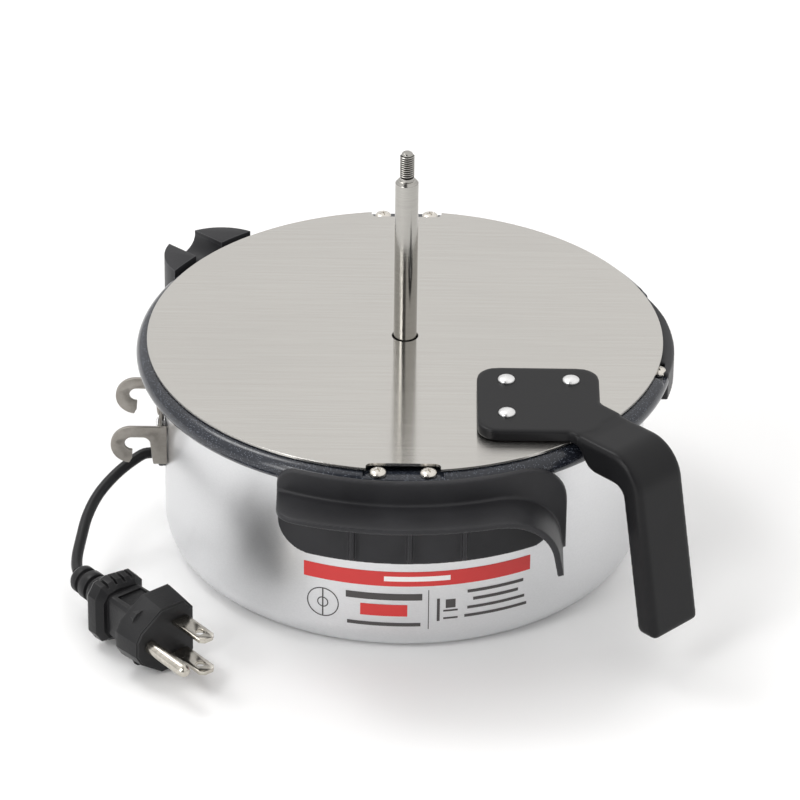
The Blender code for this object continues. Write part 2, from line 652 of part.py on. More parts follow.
# ---- lid and its handle --------------------------------------------------------------------------
def handle_plate():
    """Two corners of the handle's plate, the lower left and the upper right seen from above."""
    low = Vector((LID_R - 64.5 * MM, 18.5 * MM - LID_R, 0.0))
    return low, low + Vector((PLATE_X, PLATE_Y, 0.0))


def lid_rivets():
    low, high = handle_plate()
    left, right = low.x + 10.0 * MM, high.x - 9.6 * MM
    back, front = high.y - 9.0 * MM, low.y + 11.6 * MM
    return [Vector((left, back, 0.0)), Vector((right, back, 0.0)), Vector((left, front, 0.0))]


def make_lid():
    """Flat steel disc, notched front and back to clear the rim screws."""
    lid = turned("lid", [(LID_R, LID_TOP), (LID_R, LID_UNDER), (LID_HOLE_R, LID_UNDER),
                         (LID_HOLE_R, LID_TOP)], "brushed_stainless")
    for side, name in ((-1.0, "front"), (1.0, "back")):
        radius = 2.2 * MM
        half = NOTCH_W / 2.0
        notch = rounded_rectangle(-half, NOTCH_Y, half, LID_R + 8.0 * MM, (radius,) * 4, 3)
        turn = Matrix.Rotation(0.0 if side > 0 else pi, 4, "Z")
        cut(lid, prism(name + "_notch", notch, LID_UNDER - MM, LID_TOP + MM, place=turn))
    for i, place in enumerate(lid_rivets()):
        cut(lid, cylinder(f"lid_rivet_hole_{i}", RIVET_SHANK_R + GAP,
                          place + Vector((0, 0, LID_UNDER - MM)), place + Vector((0, 0, LID_TOP + MM)),
                          steps=16))
    return lid


def handle_side():
    """Side outline of the arm and grip, as (distance along the arm from the axis, height)."""
    top = HANDLE_TOP
    under = HANDLE_UNDER
    slope = sin(GRIP_LEAN) / cos(GRIP_LEAN)
    outer_bend = 14.0 * MM
    bend = (BEAD_OUT + 14.9 * MM, top - outer_bend)
    side = arc(bend, outer_bend, 90.0, degrees(GRIP_LEAN), 8)
    foot_x = side[-1][0] + (side[-1][1] - GRIP_BOTTOM) * slope
    inner_x = foot_x - GRIP_T / cos(GRIP_LEAN)
    side += [(foot_x, GRIP_BOTTOM), (inner_x, GRIP_BOTTOM)]
    knee = 4.5 * MM
    low = LID_TOP - 7.3 * MM
    knee_x = inner_x - (low - knee - GRIP_BOTTOM) * slope - knee
    side += arc((knee_x, low - knee), knee, degrees(GRIP_LEAN) - 4.0, 90.0, 4)
    inner_end = BEAD_OUT - 14.7 * MM
    side += [(BEAD_OUT + 7.0 * MM, low), (BEAD_OUT + 3.0 * MM, low + 2.4 * MM),
             (BEAD_OUT - 1.5 * MM, under), (inner_end, under), (inner_end, top)]
    return side


def make_lid_handle():
    """One moulding: a plate riveted to the lid, an arm over the rim and a grip that hangs outside."""
    under, top = HANDLE_UNDER, HANDLE_TOP
    low, high = handle_plate()
    plate = rounded_rectangle(low.x, low.y, high.x, high.y, (PLATE_CORNER,) * 4)
    handle = prism("lid_handle", plate, under, top, "black_phenolic")
    along = Matrix.Rotation(HANDLE_ANGLE, 4, "Z")
    half = HANDLE_W / 2.0
    fillet = ((-28.7, -9.0), (-10.7, 0.0), (-2.7, 0.0), (-2.7, 0.0), (-8.7, 0.0), (-16.7, 4.0), (-22.7, 9.0),
              (-34.7, 0.0))    # mm from the rim along the arm, and beyond the arm's own side
    root = [(BEAD_OUT + x * MM, (half if i > 2 else -half) + y * MM) for i, (x, y) in enumerate(fillet)]
    join(handle, prism("handle_root", root, under, top, place=along))
    grip = prism("handle_grip", handle_side(), -half, half, place=along @ UPRIGHT)
    join(handle, grip)
    for i, place in enumerate(lid_rivets()):
        cut(handle, cylinder(f"handle_rivet_hole_{i}", RIVET_SHANK_R + GAP,
                             place + Vector((0, 0, under - MM)), place + Vector((0, 0, top + MM)),
                             steps=16))
    tail_r = 2.3 * MM
    for i, place in enumerate(lid_rivets()):
        dome = [(RIVET_HEAD_R * x, top + GAP + RIVET_HEAD_H * z) for x, z in
                ((0.0, 1.0), (0.62, 0.93), (0.92, 0.62), (1.0, 0.0))]
        tail = LID_UNDER - GAP
        profile = dome + [(RIVET_SHANK_R, top + GAP), (RIVET_SHANK_R, tail), (tail_r, tail),
                          (tail_r, tail - 0.8 * MM), (0.0, tail - 0.8 * MM)]
        rivet = turned(f"lid_rivet_{i + 1}", profile, "rivet_aluminium", SMALL_STEPS)
        rivet.location = place


# ---- moulded holders and lugs --------------------------------------------------------------------
def holder_section():
    """Turned section of the front holder: a wall round the bead, a web under it, a foot on the casing."""
    web_low = WEB_TOP - WEB_T
    return [(HOLDER_OUT, HOLDER_TOP), (HOLDER_OUT, web_low), (FOOT_OUT, web_low), (FOOT_OUT, HOLDER_LOW),
            (FOOT_IN, HOLDER_LOW), (FOOT_IN, WEB_TOP), (HOLDER_IN, WEB_TOP), (HOLDER_IN, HOLDER_TOP)]


def shelf_outline():
    """The shelf seen from the front: a flat run whose right end curls down."""
    top = [(HOLDER_X0, SHELF_TOP)]
    centre = (SHELF_FLAT_X, SHELF_TOP - SHELF_CURL_R)
    end_x, end_z = HOLDER_X1 - MM, SHELF_TOP - SHELF_END_DROP
    top += arc(centre, SHELF_CURL_R, 90.0, 12.0, 10)
    top += [(end_x, end_z), (end_x - SHELF_T, end_z)]
    under = arc(centre, SHELF_CURL_R - SHELF_T, 12.0, 90.0, 10)
    return top + under + [(HOLDER_X0, SHELF_TOP - SHELF_T)]


def make_front_holder():
    """Moulding under the front of the rim, with a shelf that curls down at its right end."""
    holder = turned("front_holder", holder_section(), "black_phenolic")
    face = rounded_rectangle(HOLDER_X0, HOLDER_LOW, HOLDER_X1, HOLDER_TOP,
                             (11.0 * MM, 3.0 * MM, 17.0 * MM, 7.0 * MM), 6)
    keep(holder, prism("front_face", face, 0.5 * BEAD_R, FAR, place=UPRIGHT))
    shelf = prism("front_shelf", shelf_outline(), 0.7 * BEAD_R, FAR, place=UPRIGHT)
    edge = cylinder("shelf_edge", SHELF_R, (0, -SHELF_SHIFT, 0.0), (0, -SHELF_SHIFT, LID_TOP), steps=96)
    keep(shelf, edge)
    cut(shelf, cylinder("shelf_back", FOOT_IN + 0.5 * HOLDER_T, (0, 0, -MM), (0, 0, LID_TOP + MM),
                        steps=ROUND_STEPS))
    join(holder, shelf)
    for i, x in enumerate(RIB_X):
        y = -sqrt(FOOT_OUT ** 2 - x ** 2)
        rib = box(f"front_rib_{i}", (x - RIB_T / 2.0, y - 2.2 * MM, HOLDER_LOW + 1.5 * MM),
                  (x + RIB_T / 2.0, y + 1.0 * MM, WEB_TOP - 1.0 * MM))
        join(holder, rib)
    for name, place in rim_screws()[:2]:
        cut(holder, cylinder(name + "_boss_hole", SCREW_SHANK_R + GAP,
                             place + Vector((0, 0, -SCREW_LENGTH - MM)), place, steps=16))
    return holder


def make_rear_holder():
    """Plain holder under the back of the rim: the same web and foot, with no wall above the web."""
    web_low = WEB_TOP - WEB_T
    profile = [(HOLDER_OUT, WEB_TOP), (HOLDER_OUT, web_low), (FOOT_OUT, web_low), (FOOT_OUT, HOLDER_LOW),
               (FOOT_IN, HOLDER_LOW), (FOOT_IN, WEB_TOP)]
    holder = turned("rear_holder", profile, "black_phenolic")
    face = rounded_rectangle(-REAR_HALF_W, HOLDER_LOW, REAR_HALF_W, LID_TOP,
                             (10.0 * MM, 10.0 * MM, 3.0 * MM, 3.0 * MM), 4)
    keep(holder, prism("rear_face", face, -FAR, -0.5 * BEAD_R, place=UPRIGHT))
    for name, place in rim_screws()[2:4]:
        cut(holder, cylinder(name + "_boss_hole", SCREW_SHANK_R + GAP,
                             place + Vector((0, 0, -SCREW_LENGTH - MM)), place, steps=16))
    return holder


def make_side_lug():
    """Shell round the right side of the rim, with a lip over it and one screw."""
    web_low = WEB_TOP - WEB_T
    out = HOLDER_IN + SIDE_LUG_T
    bevel = 1.2 * MM
    top = LUG_TAB_Z + 1.5 * MM
    lip_in = BEAD_R - 2.7 * MM
    lip_low = top - 4.0 * MM
    profile = [(out, top - bevel), (out, web_low), (FOOT_OUT, web_low), (FOOT_OUT, SIDE_LUG_LOW),
               (FOOT_IN, SIDE_LUG_LOW), (FOOT_IN, WEB_TOP), (HOLDER_IN, WEB_TOP),
               (HOLDER_IN, top - bevel)]
    lug = turned("side_lug", profile, "black_phenolic")
    keep(lug, wedge("side_lug_wedge", SIDE_LUG_FROM, SIDE_LUG_TO, FAR, 0.0, LID_TOP))
    lip = turned("side_lug_lip", [(out - bevel, top), (out, top - bevel), (out, lip_low),
                                  (HOLDER_IN, lip_low), (HOLDER_IN, LUG_TAB_Z + GAP),
                                  (lip_in, LUG_TAB_Z + GAP), (lip_in, top)])
    keep(lip, wedge("side_lip_wedge", SIDE_LUG_LIP_FROM, SIDE_LUG_TO, FAR, 0.0, LID_TOP))
    join(lug, lip)
    name, place = rim_screws()[4]
    cut(lug, cylinder(name + "_boss_hole", SCREW_SHANK_R + GAP,
                      place + Vector((0, 0, -SCREW_LENGTH - MM)), place, steps=16))
    return lug


def make_rear_lug():
    """Block at the back left with a half-round groove across its top, which rests on the machine's bar."""
    outline = rounded_rectangle(FOOT_IN - 8.0 * MM, -LUG_HALF_W, LUG_REACH, LUG_HALF_W,
                                (MM, LUG_CORNER, LUG_CORNER, MM), 6)
    along = Matrix.Rotation(LUG_ANGLE, 4, "Z")
    lug = prism("rear_lug", outline, LUG_LOW, LUG_TOP, "black_phenolic", along)
    above, below = LUG_TOP + MM, LUG_LOW - MM
    cut(lug, turned("rear_lug_seat", [(0.0, above), (HOLDER_IN, above), (HOLDER_IN, WEB_TOP),
                                      (FOOT_IN, WEB_TOP), (FOOT_IN, below), (0.0, below)]))
    centre = LUG_TOP - GROOVE_DEPTH + GROOVE_R
    start = 0.5 * BEAD_R
    cut(lug, cylinder("groove", GROOVE_R, polar(start, LUG_ANGLE, centre),
                      polar(FAR, LUG_ANGLE, centre), steps=28))
    cut(lug, box("groove_mouth", (start, -GROOVE_R, centre), (FAR, GROOVE_R, LID_TOP + MM), place=along))
    return lug


# ---- hook bracket --------------------------------------------------------------------------------
def hook_rivets():
    z = HOOK_TOP - HOOK_PLATE_H / 2.0
    return [("hook_rivet_1", -9.0 * MM, z), ("hook_rivet_2", 9.0 * MM, z)]


def hook_outline():
    """One hook seen from the front: a foot on the casing, an arm, and a J with an eye open below."""
    eye = (HOOK_EYE_X, HOOK_TOP - HOOK_EYE_R)
    slot = (HOOK_EYE_X + 0.3 * MM, HOOK_TOP - HOOK_ARM - HOOK_SLOT_R)
    foot_x = -FOOT_IN
    outline = [(foot_x, HOOK_TOP)]
    outline += arc(eye, HOOK_EYE_R, 90.0, 264.0, 14)
    outline += [(slot[0] - 0.1 * MM, HOOK_FOOT + 2.2 * MM), (slot[0] + 0.1 * MM, slot[1] - HOOK_SLOT_R)]
    outline += arc(slot, HOOK_SLOT_R, 250.0, 90.0, 8)
    knee = 2.6 * MM
    inner = foot_x - HOOK_FOOT_T
    outline += arc((inner - 0.8 * MM - knee, HOOK_TOP - HOOK_ARM - knee), knee, 90.0, 0.0, 4)
    outline += [(inner, HOOK_FOOT), (foot_x, HOOK_FOOT)]
    return outline


def make_hook_bracket():
    """Two flat hooks bent forward from a flat plate that is riveted to the casing."""
    outer = FOOT_IN + HOOK_PLATE_T
    bracket = box("hook_bracket", (-outer, -HOOK_Y, HOOK_TOP - HOOK_PLATE_H),
                  (-FOOT_IN, HOOK_Y, HOOK_TOP), "hook_steel")
    for side, name in ((-1.0, "front"), (1.0, "back")):
        near = -side * HOOK_Y
        hook = prism(f"{name}_hook", hook_outline(), near - HOOK_T / 2.0, near + HOOK_T / 2.0,
                     place=UPRIGHT)
        join(bracket, hook)
    for name, y, z in hook_rivets():
        cut(bracket, cylinder(name + "_bracket_hole", RIVET_SHANK_R + GAP, (-outer - MM, y, z),
                              (-FOOT_IN + MM, y, z), steps=16))
        tail_r = 2.2 * MM
        x_out = -outer - GAP
        x_in = -sqrt(CASING_IN ** 2 - (abs(y) + tail_r) ** 2) + GAP
        rivet = turned(name, [(0.0, x_in + 0.9 * MM), (tail_r, x_in + 0.9 * MM), (tail_r, x_in),
                              (RIVET_SHANK_R, x_in), (RIVET_SHANK_R, x_out), (2.6 * MM, x_out),
                              (2.0 * MM, x_out - 1.0 * MM), (0.0, x_out - 1.0 * MM)],
                       "rivet_aluminium", SMALL_STEPS)
        rivet.matrix_world = Matrix.Translation((0.0, y, z)) @ Matrix.Rotation(pi / 2.0, 4, "Y")


# ---- lead and plug -------------------------------------------------------------------------------
def plug_frame():
    """The plug's own axes: X out of the face along the blades, Z up."""
    return Matrix.Translation(PLUG_FACE) @ Matrix.Rotation(PLUG_ANGLE, 4, "Z")


def make_bushing():
    """Flanged bush that the lead passes through in the casing's wall."""
    wall = sqrt(CASING_R ** 2 - (abs(CORD_Y) + BUSHING_FLANGE_R) ** 2)
    face = -CASING_R - GAP
    nose = face - 1.5 * MM - BUSHING_NOSE
    inside = -(wall - CASING_WALL) + 4.0 * MM
    profile = [(0.0, inside), (BUSHING_R, inside), (BUSHING_R, face),
               (BUSHING_FLANGE_R, face), (BUSHING_FLANGE_R, face - 1.5 * MM),
               (BUSHING_R - MM, face - 1.5 * MM), (CORD_R + 0.7 * MM, nose), (0.0, nose)]
    bushing = turned("lead_bushing", profile, "black_cord", 20)
    bushing.matrix_world = Matrix.Translation((0.0, CORD_Y, CORD_Z)) @ Matrix.Rotation(pi / 2.0, 4, "Y")


def make_lead():
    """The short lead, from the bush in the casing to the plug's strain relief."""
    route = [(-87.7, -7.2, 32.6), (-90.2, -7.4, 32.3), (-94.2, -9.4, 30.6), (-100.0, -14.0, 27.6),
             (-105.6, -21.0, 23.8), (-109.0, -29.5, 20.3), (-110.6, -38.5, 17.2), (-111.6, -47.5, 14.9),
             (-111.4, -52.5, 14.0), (-110.75, -55.45, 13.75)]
    points = [Vector(p) * MM for p in route]
    wire("lead_cord", smooth_route(points, 4.4 * MM), CORD_R, "black_cord", 2)


def make_plug():
    """Moulded plug: a chamfered skirt, a waist with a finger collar, and the strain relief behind."""
    frame = plug_frame()
    end_on = frame @ Matrix(((0, 0, 1, 0), (1, 0, 0, 0), (0, 1, 0, 0), (0, 0, 0, 1)))
    shift = -PLUG_MIDDLE
    w, h = PLUG_HALF_W, PLUG_HALF_H
    skirt = [(shift + w * x, h * z) for x, z in
             ((0.95, -0.68), (0.95, 0.68), (0.68, 1.0), (-0.15, 1.0), (-0.88, 0.5), (-1.04, 0.22),
              (-1.04, -0.22), (-0.88, -0.5), (-0.15, -1.0), (0.68, -1.0))]
    body = prism("plug_body", skirt, -PLUG_SKIRT, 0.0, "black_cord", end_on)
    waist = rounded_rectangle(shift - 7.5 * MM, -8.5 * MM, shift + 7.5 * MM, 8.5 * MM, (3.0 * MM,) * 4, 2)
    join(body, prism("plug_waist", waist, -PLUG_LENGTH, -PLUG_SKIRT / 2.0, place=end_on))
    collar = rounded_rectangle(shift - 10.5 * MM, -12.0 * MM, shift + 8.5 * MM, 12.0 * MM,
                               (4.0 * MM,) * 4, 1)
    join(body, prism("plug_collar", collar, -PLUG_LENGTH + MM, -PLUG_LENGTH + 7.0 * MM, place=end_on))
    start = -PLUG_LENGTH - GAP
    end = start - RELIEF_LENGTH
    cylinder("plug_relief", RELIEF_R, frame @ Vector((start, shift, 0)), frame @ Vector((end, shift, 0)),
             "black_cord", 20, end_radius=RELIEF_R - 0.8 * MM)
    for sign, name in ((1.0, "upper"), (-1.0, "lower")):
        z = sign * BLADE_PITCH / 2.0
        blade = box(f"plug_blade_{name}", (GAP, -BLADE_W / 2.0, z - BLADE_T / 2.0),
                    (BLADE_LENGTH, BLADE_W / 2.0, z + BLADE_T / 2.0), "plated_blade", frame)
        cut(blade, cylinder(f"{name}_blade_hole", BLADE_HOLE_R,
                            frame @ Vector((BLADE_HOLE_X, 0, z - BLADE_T)),
                            frame @ Vector((BLADE_HOLE_X, 0, z + BLADE_T)), steps=14))
    cylinder("plug_ground_pin", PIN_R, frame @ Vector((GAP, -PIN_OFFSET, 0)),
             frame @ Vector((PIN_LENGTH, -PIN_OFFSET, 0)), "plated_blade", 16)


def build():
    for item in list(bpy.data.objects):
        bpy.data.objects.remove(item, do_unlink=True)
    bpy.context.scene.collection.children.link(MODEL)
    bpy.context.scene.collection.children.link(CUTTERS)
    make_finishes()
    make_pan()
    make_rim_screws()
    make_casing()
    make_heater()
    make_controls()
    foot = make_bush()
    make_stirrer(foot)
    make_lid()
    make_lid_handle()
    make_front_holder()
    make_rear_holder()
    make_side_lug()
    make_rear_lug()
    make_hook_bracket()
    make_bushing()
    make_lead()
    make_plug()


build()
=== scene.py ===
"""Electric kettle of a table-top popcorn machine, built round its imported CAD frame.

A rimmed non-stick pan hangs in a drawn casing under a flat brushed lid. The shaft through the lid drives
the stirrer; moulded holders, a grooved lug and two steel hooks carry the kettle; a short lead feeds it.
Metres, +Z up, origin on the shaft's axis at the casing's flat underside.
"""

import bpy
from math import asin, atan2, cos, degrees, pi, radians, sin, sqrt, tan
from mathutils import Matrix, Quaternion, Vector


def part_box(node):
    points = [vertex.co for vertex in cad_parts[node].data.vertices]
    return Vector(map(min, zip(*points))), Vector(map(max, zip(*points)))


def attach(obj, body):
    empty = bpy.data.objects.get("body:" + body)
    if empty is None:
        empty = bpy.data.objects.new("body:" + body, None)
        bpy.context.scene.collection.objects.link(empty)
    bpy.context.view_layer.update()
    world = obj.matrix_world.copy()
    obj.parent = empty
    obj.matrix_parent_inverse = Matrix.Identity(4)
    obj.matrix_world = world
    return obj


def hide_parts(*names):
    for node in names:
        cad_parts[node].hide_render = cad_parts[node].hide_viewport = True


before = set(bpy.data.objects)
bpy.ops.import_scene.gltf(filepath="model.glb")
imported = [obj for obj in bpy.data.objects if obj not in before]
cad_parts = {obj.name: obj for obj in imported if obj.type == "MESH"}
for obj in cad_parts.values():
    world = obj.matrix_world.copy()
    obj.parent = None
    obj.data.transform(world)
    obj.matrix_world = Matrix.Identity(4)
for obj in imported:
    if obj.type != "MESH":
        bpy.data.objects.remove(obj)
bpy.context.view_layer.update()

# ---- camera, floor and light -----------------------------------------------------------------------
# A long lens thirty degrees above the table, square to the front holder. The kettle stands on a white
# sweep under a soft light from the back left, a second from the front left, and a bright sky.
MM = 0.001
LID_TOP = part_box("lid")[1].z
VIEW_DISTANCE = 1.8377
VIEW_HEIGHT = radians(30.09)
VIEW_AIM = Vector((-1.46, 0.0, 50.94)) * MM
VIEW_ROLL = radians(0.72)
LENS = 239.6

camera_data = bpy.data.cameras.new("camera")
camera_data.sensor_width = 36.0
camera_data.lens = LENS
camera_data.clip_start = 0.1
camera_data.clip_end = 20.0
camera = bpy.data.objects.new("camera", camera_data)
bpy.context.scene.collection.objects.link(camera)
camera.location = (0.0, -VIEW_DISTANCE * cos(VIEW_HEIGHT), LID_TOP + VIEW_DISTANCE * sin(VIEW_HEIGHT))
camera.rotation_mode = "QUATERNION"
look = (VIEW_AIM - camera.location).to_track_quat("-Z", "Y")
camera.rotation_quaternion = look @ Quaternion((0.0, 0.0, 1.0), VIEW_ROLL)
bpy.context.scene.camera = camera
bpy.context.scene.view_settings.view_transform = "Standard"


def plain_material(name, colour, roughness, metallic=0.0):
    """A material with its constant values on the shader; returns it with its node tree and shader."""
    material = bpy.data.materials.new(name)
    material.use_nodes = True
    shader = material.node_tree.nodes["Principled BSDF"]
    shader.inputs["Base Color"].default_value = (*colour, 1.0)
    shader.inputs["Roughness"].default_value = roughness
    shader.inputs["Metallic"].default_value = metallic
    material.diffuse_color = (*colour, 1.0)
    return material, material.node_tree, shader


def start_clean():
    """Object mode with nothing selected, because an operator acts on all that is selected."""
    if bpy.context.object is not None and bpy.context.object.mode != "OBJECT":
        bpy.ops.object.mode_set(mode="OBJECT")
    bpy.ops.object.select_all(action="DESELECT")


start_clean()
bpy.ops.mesh.primitive_plane_add(size=12.0, location=(0.0, 0.0, 0.0))
floor = bpy.context.object
floor.name = "floor"
floor_material, _, floor_shader = plain_material("white_sweep", (0.97, 0.97, 0.97), 0.9)
floor_shader.inputs["Specular IOR Level"].default_value = 0.1
floor.data.materials.append(floor_material)


def softbox(name, place, aim, width, height, power):
    """A large soft rectangular light, turned towards the kettle."""
    lamp = bpy.data.lights.new(name, "AREA")
    lamp.shape = "RECTANGLE"
    lamp.size = width
    lamp.size_y = height
    lamp.energy = power
    item = bpy.data.objects.new(name, lamp)
    item.location = place
    item.rotation_mode = "QUATERNION"
    item.rotation_quaternion = (Vector(aim) - Vector(place)).to_track_quat("-Z", "Y")
    bpy.context.scene.collection.objects.link(item)
    return item


softbox("key_light", (-0.8, 0.5, 1.6), (0.0, 0.0, 0.05), 0.6, 0.6, 7.0)
softbox("front_light", (-0.9, -1.0, 1.1), (-0.2, -0.2, 0.0), 0.5, 0.5, 6.0)
softbox("left_strip", (-1.0, -0.9, 0.35), (0.0, 0.0, 0.05), 0.35, 0.5, 3.0)

sky = bpy.data.worlds.new("studio")
bpy.context.scene.world = sky
sky.use_nodes = True
sky_tree = sky.node_tree


def node(tree, kind, *wires, **settings):
    """A shader node with its settings, each named input given a value or wired to a socket."""
    made = tree.nodes.new("ShaderNode" + kind)
    for label, value in settings.items():
        setattr(made, label, value)
    for label, value in wires:
        if isinstance(value, bpy.types.NodeSocket):
            tree.links.new(value, made.inputs[label])
        else:
            made.inputs[label].default_value = value
    return made


sky_place = node(sky_tree, "TexCoord")
sky_split = node(sky_tree, "SeparateXYZ", ("Vector", sky_place.outputs["Generated"]))
sky_ramp = node(sky_tree, "ValToRGB", ("Fac", sky_split.outputs["Z"]))
sky_ramp.color_ramp.elements[0].position = 0.0
sky_ramp.color_ramp.elements[0].color = (0.72, 0.72, 0.72, 1.0)
sky_ramp.color_ramp.elements[1].position = 0.75
sky_ramp.color_ramp.elements[1].color = (1.0, 0.99, 0.98, 1.0)
# A dark flag in front, left of the middle, gives round metal a dark stripe between lit ones.
FLAG_SIDE = (-0.42, -0.91, 0.0)
FLAG_EDGE, FLAG_FULL, FLAG_SHADE = 0.82, 0.95, 0.12
flag_level = node(sky_tree, "CombineXYZ", ("X", sky_split.outputs["X"]), ("Y", sky_split.outputs["Y"]))
flag_unit = node(sky_tree, "VectorMath", (0, flag_level.outputs["Vector"]), operation="NORMALIZE")
flag_dot = node(sky_tree, "VectorMath", (0, flag_unit.outputs["Vector"]), (1, FLAG_SIDE),
                operation="DOT_PRODUCT")
flag_range = node(sky_tree, "MapRange", ("Value", flag_dot.outputs["Value"]), ("From Min", FLAG_EDGE),
                  ("From Max", FLAG_FULL), ("To Min", 1.0), ("To Max", FLAG_SHADE),
                  interpolation_type="SMOOTHSTEP")
sky_shade = node(sky_tree, "VectorMath", (0, sky_ramp.outputs["Color"]),
                 ("Scale", flag_range.outputs["Result"]), operation="SCALE")
sky_light = sky_tree.nodes["Background"]
sky_light.inputs["Strength"].default_value = 1.12
sky_tree.links.new(sky_shade.outputs["Vector"], sky_light.inputs["Color"])

# ---- lead ------------------------------------------------------------------------------------------
# A short round lead in black PVC, one length. It leaves a bush in the casing's left side, drops towards
# the table in one curve and ends in the plug; a shallow groove runs along it between its two cores.
CORD_R = 1.95 * MM
CORD_ROUTE = [(-87.7, -7.2, 32.6), (-90.2, -7.4, 32.3), (-94.2, -9.4, 30.6), (-100.0, -14.0, 27.6),
              (-105.6, -21.0, 23.8), (-109.0, -29.5, 20.3), (-110.6, -38.5, 17.2), (-111.6, -47.5, 14.9),
              (-111.4, -52.5, 14.0), (-110.75, -55.45, 13.75)]


def smooth_route(points, step):
    """Points a step apart on a smooth curve (centripetal Catmull-Rom) through the given points."""
    padded = [2 * points[0] - points[1]] + points + [2 * points[-1] - points[-2]]
    dense = []
    for a, b, c, d in zip(padded, padded[1:], padded[2:], padded[3:]):
        knots = [0.0]
        for first, second in ((a, b), (b, c), (c, d)):
            knots.append(knots[-1] + sqrt((second - first).length))
        for i in range(24):
            t = knots[1] + (knots[2] - knots[1]) * i / 24.0
            ab = a.lerp(b, (t - knots[0]) / (knots[1] - knots[0]))
            bc = b.lerp(c, (t - knots[1]) / (knots[2] - knots[1]))
            cd = c.lerp(d, (t - knots[2]) / (knots[3] - knots[2]))
            abc = ab.lerp(bc, (t - knots[0]) / (knots[2] - knots[0]))
            bcd = bc.lerp(cd, (t - knots[1]) / (knots[3] - knots[1]))
            dense.append(abc.lerp(bcd, (t - knots[1]) / (knots[2] - knots[1])))
    dense.append(points[-1])
    length = sum((q - p).length for p, q in zip(dense, dense[1:]))
    count = max(2, round(length / step))
    spaced, walked, wanted = [dense[0]], 0.0, length / count
    for p, q in zip(dense, dense[1:]):
        run = (q - p).length
        while walked + run >= wanted - 1e-9 and len(spaced) < count:
            spaced.append(p.lerp(q, (wanted - walked) / run))
            wanted += length / count
        walked += run
    return spaced + [dense[-1]]


def curve_object(name, points, closed=False, flat=False):
    """A curve object with one plain spline through the points."""
    curve = bpy.data.curves.new(name, "CURVE")
    curve.dimensions = "2D" if flat else "3D"
    line = curve.splines.new("POLY")
    line.points.add(len(points) - 1)
    for point, place in zip(line.points, points):
        point.co = (*place, 1.0)
    line.use_cyclic_u = closed
    item = bpy.data.objects.new(name, curve)
    bpy.context.scene.collection.objects.link(item)
    return item


def noise(tree, scale, detail=2.0, stretch=(1.0, 1.0, 1.0)):
    """A noise texture on the piece's own place, stretched along any axis."""
    place = node(tree, "TexCoord")
    mapping = node(tree, "Mapping", ("Vector", place.outputs["Object"]), ("Scale", stretch))
    return node(tree, "TexNoise", ("Vector", mapping.outputs["Vector"]), ("Scale", scale),
                ("Detail", detail)).outputs["Fac"]


def span(tree, value, low, high, to_low, to_high):
    """The value mapped from one range to another and held inside it."""
    return node(tree, "MapRange", ("Value", value), ("From Min", low), ("From Max", high), ("To Min", to_low),
                ("To Max", to_high)).outputs["Result"]


def math_node(tree, operation, first, second=0.0):
    """One arithmetic step between two sockets or numbers."""
    return node(tree, "Math", (0, first), (1, second), operation=operation).outputs["Value"]


def blend_colours(tree, mask, first, second):
    """The first colour where the mask is 0 and the second where it is 1; each a colour or a socket."""
    mix = node(tree, "Mix", ("Factor", mask), data_type="RGBA")
    colour_a, colour_b = [s for s in mix.inputs if s.type == "RGBA"]
    for socket, value in ((colour_a, first), (colour_b, second)):
        if isinstance(value, tuple):
            socket.default_value = (*value, 1.0)
        else:
            tree.links.new(value, socket)
    return [s for s in mix.outputs if s.type == "RGBA"][0]


def bump(tree, height, distance):
    """A normal with relief of the given height in metres."""
    return node(tree, "Bump", ("Distance", distance), ("Height", height)).outputs["Normal"]


def new_group(name, inputs, outputs):
    """An empty shader node group with number inputs and the named outputs."""
    group = bpy.data.node_groups.new(name, "ShaderNodeTree")
    for label, value in inputs:
        socket = group.interface.new_socket(label, in_out="INPUT", socket_type="NodeSocketFloat")
        socket.default_value = value
    for label, kind in outputs:
        group.interface.new_socket(label, in_out="OUTPUT", socket_type=kind)
    return group, group.nodes.new("NodeGroupInput"), group.nodes.new("NodeGroupOutput")


def use_group(tree, group, **values):
    """The group placed in a material with its own values."""
    wires = [(label.replace("_", " "), value) for label, value in values.items()]
    return node(tree, "Group", *wires, node_tree=group)


def feed(tree, shader, **sockets):
    """Wires sockets to the shader's inputs, each named with underscores for spaces."""
    for label, socket in sockets.items():
        tree.links.new(socket, shader.inputs[label.replace("_", " ")])


def two_tone(tree, value, low, high, first, second):
    """The first colour where the value is low or less, the second where it is high or more."""
    return blend_colours(tree, span(tree, value, low, high, 0.0, 1.0), first, second)


# The fine spark-eroded grain of a moulding, with slow cloudy patches of more and less gloss.
moulded_grain, grain_in, grain_out = new_group(
    "moulded_grain", [("Grain scale", 1400.0), ("Grain depth", 0.00003)],
    [("Patch", "NodeSocketFloat"), ("Normal", "NodeSocketVector")])
grain_place = node(moulded_grain, "TexCoord")
grain_noise = node(moulded_grain, "TexNoise", ("Vector", grain_place.outputs["Object"]),
                   ("Scale", grain_in.outputs["Grain scale"]), ("Detail", 3.0))
tree_links = moulded_grain.links
tree_links.new(bump(moulded_grain, grain_noise.outputs["Fac"], grain_in.outputs["Grain depth"]),
               grain_out.inputs["Normal"])
tree_links.new(span(moulded_grain, noise(moulded_grain, 38.0, 4.0), 0.35, 0.65, 0.0, 1.0),
               grain_out.inputs["Patch"])

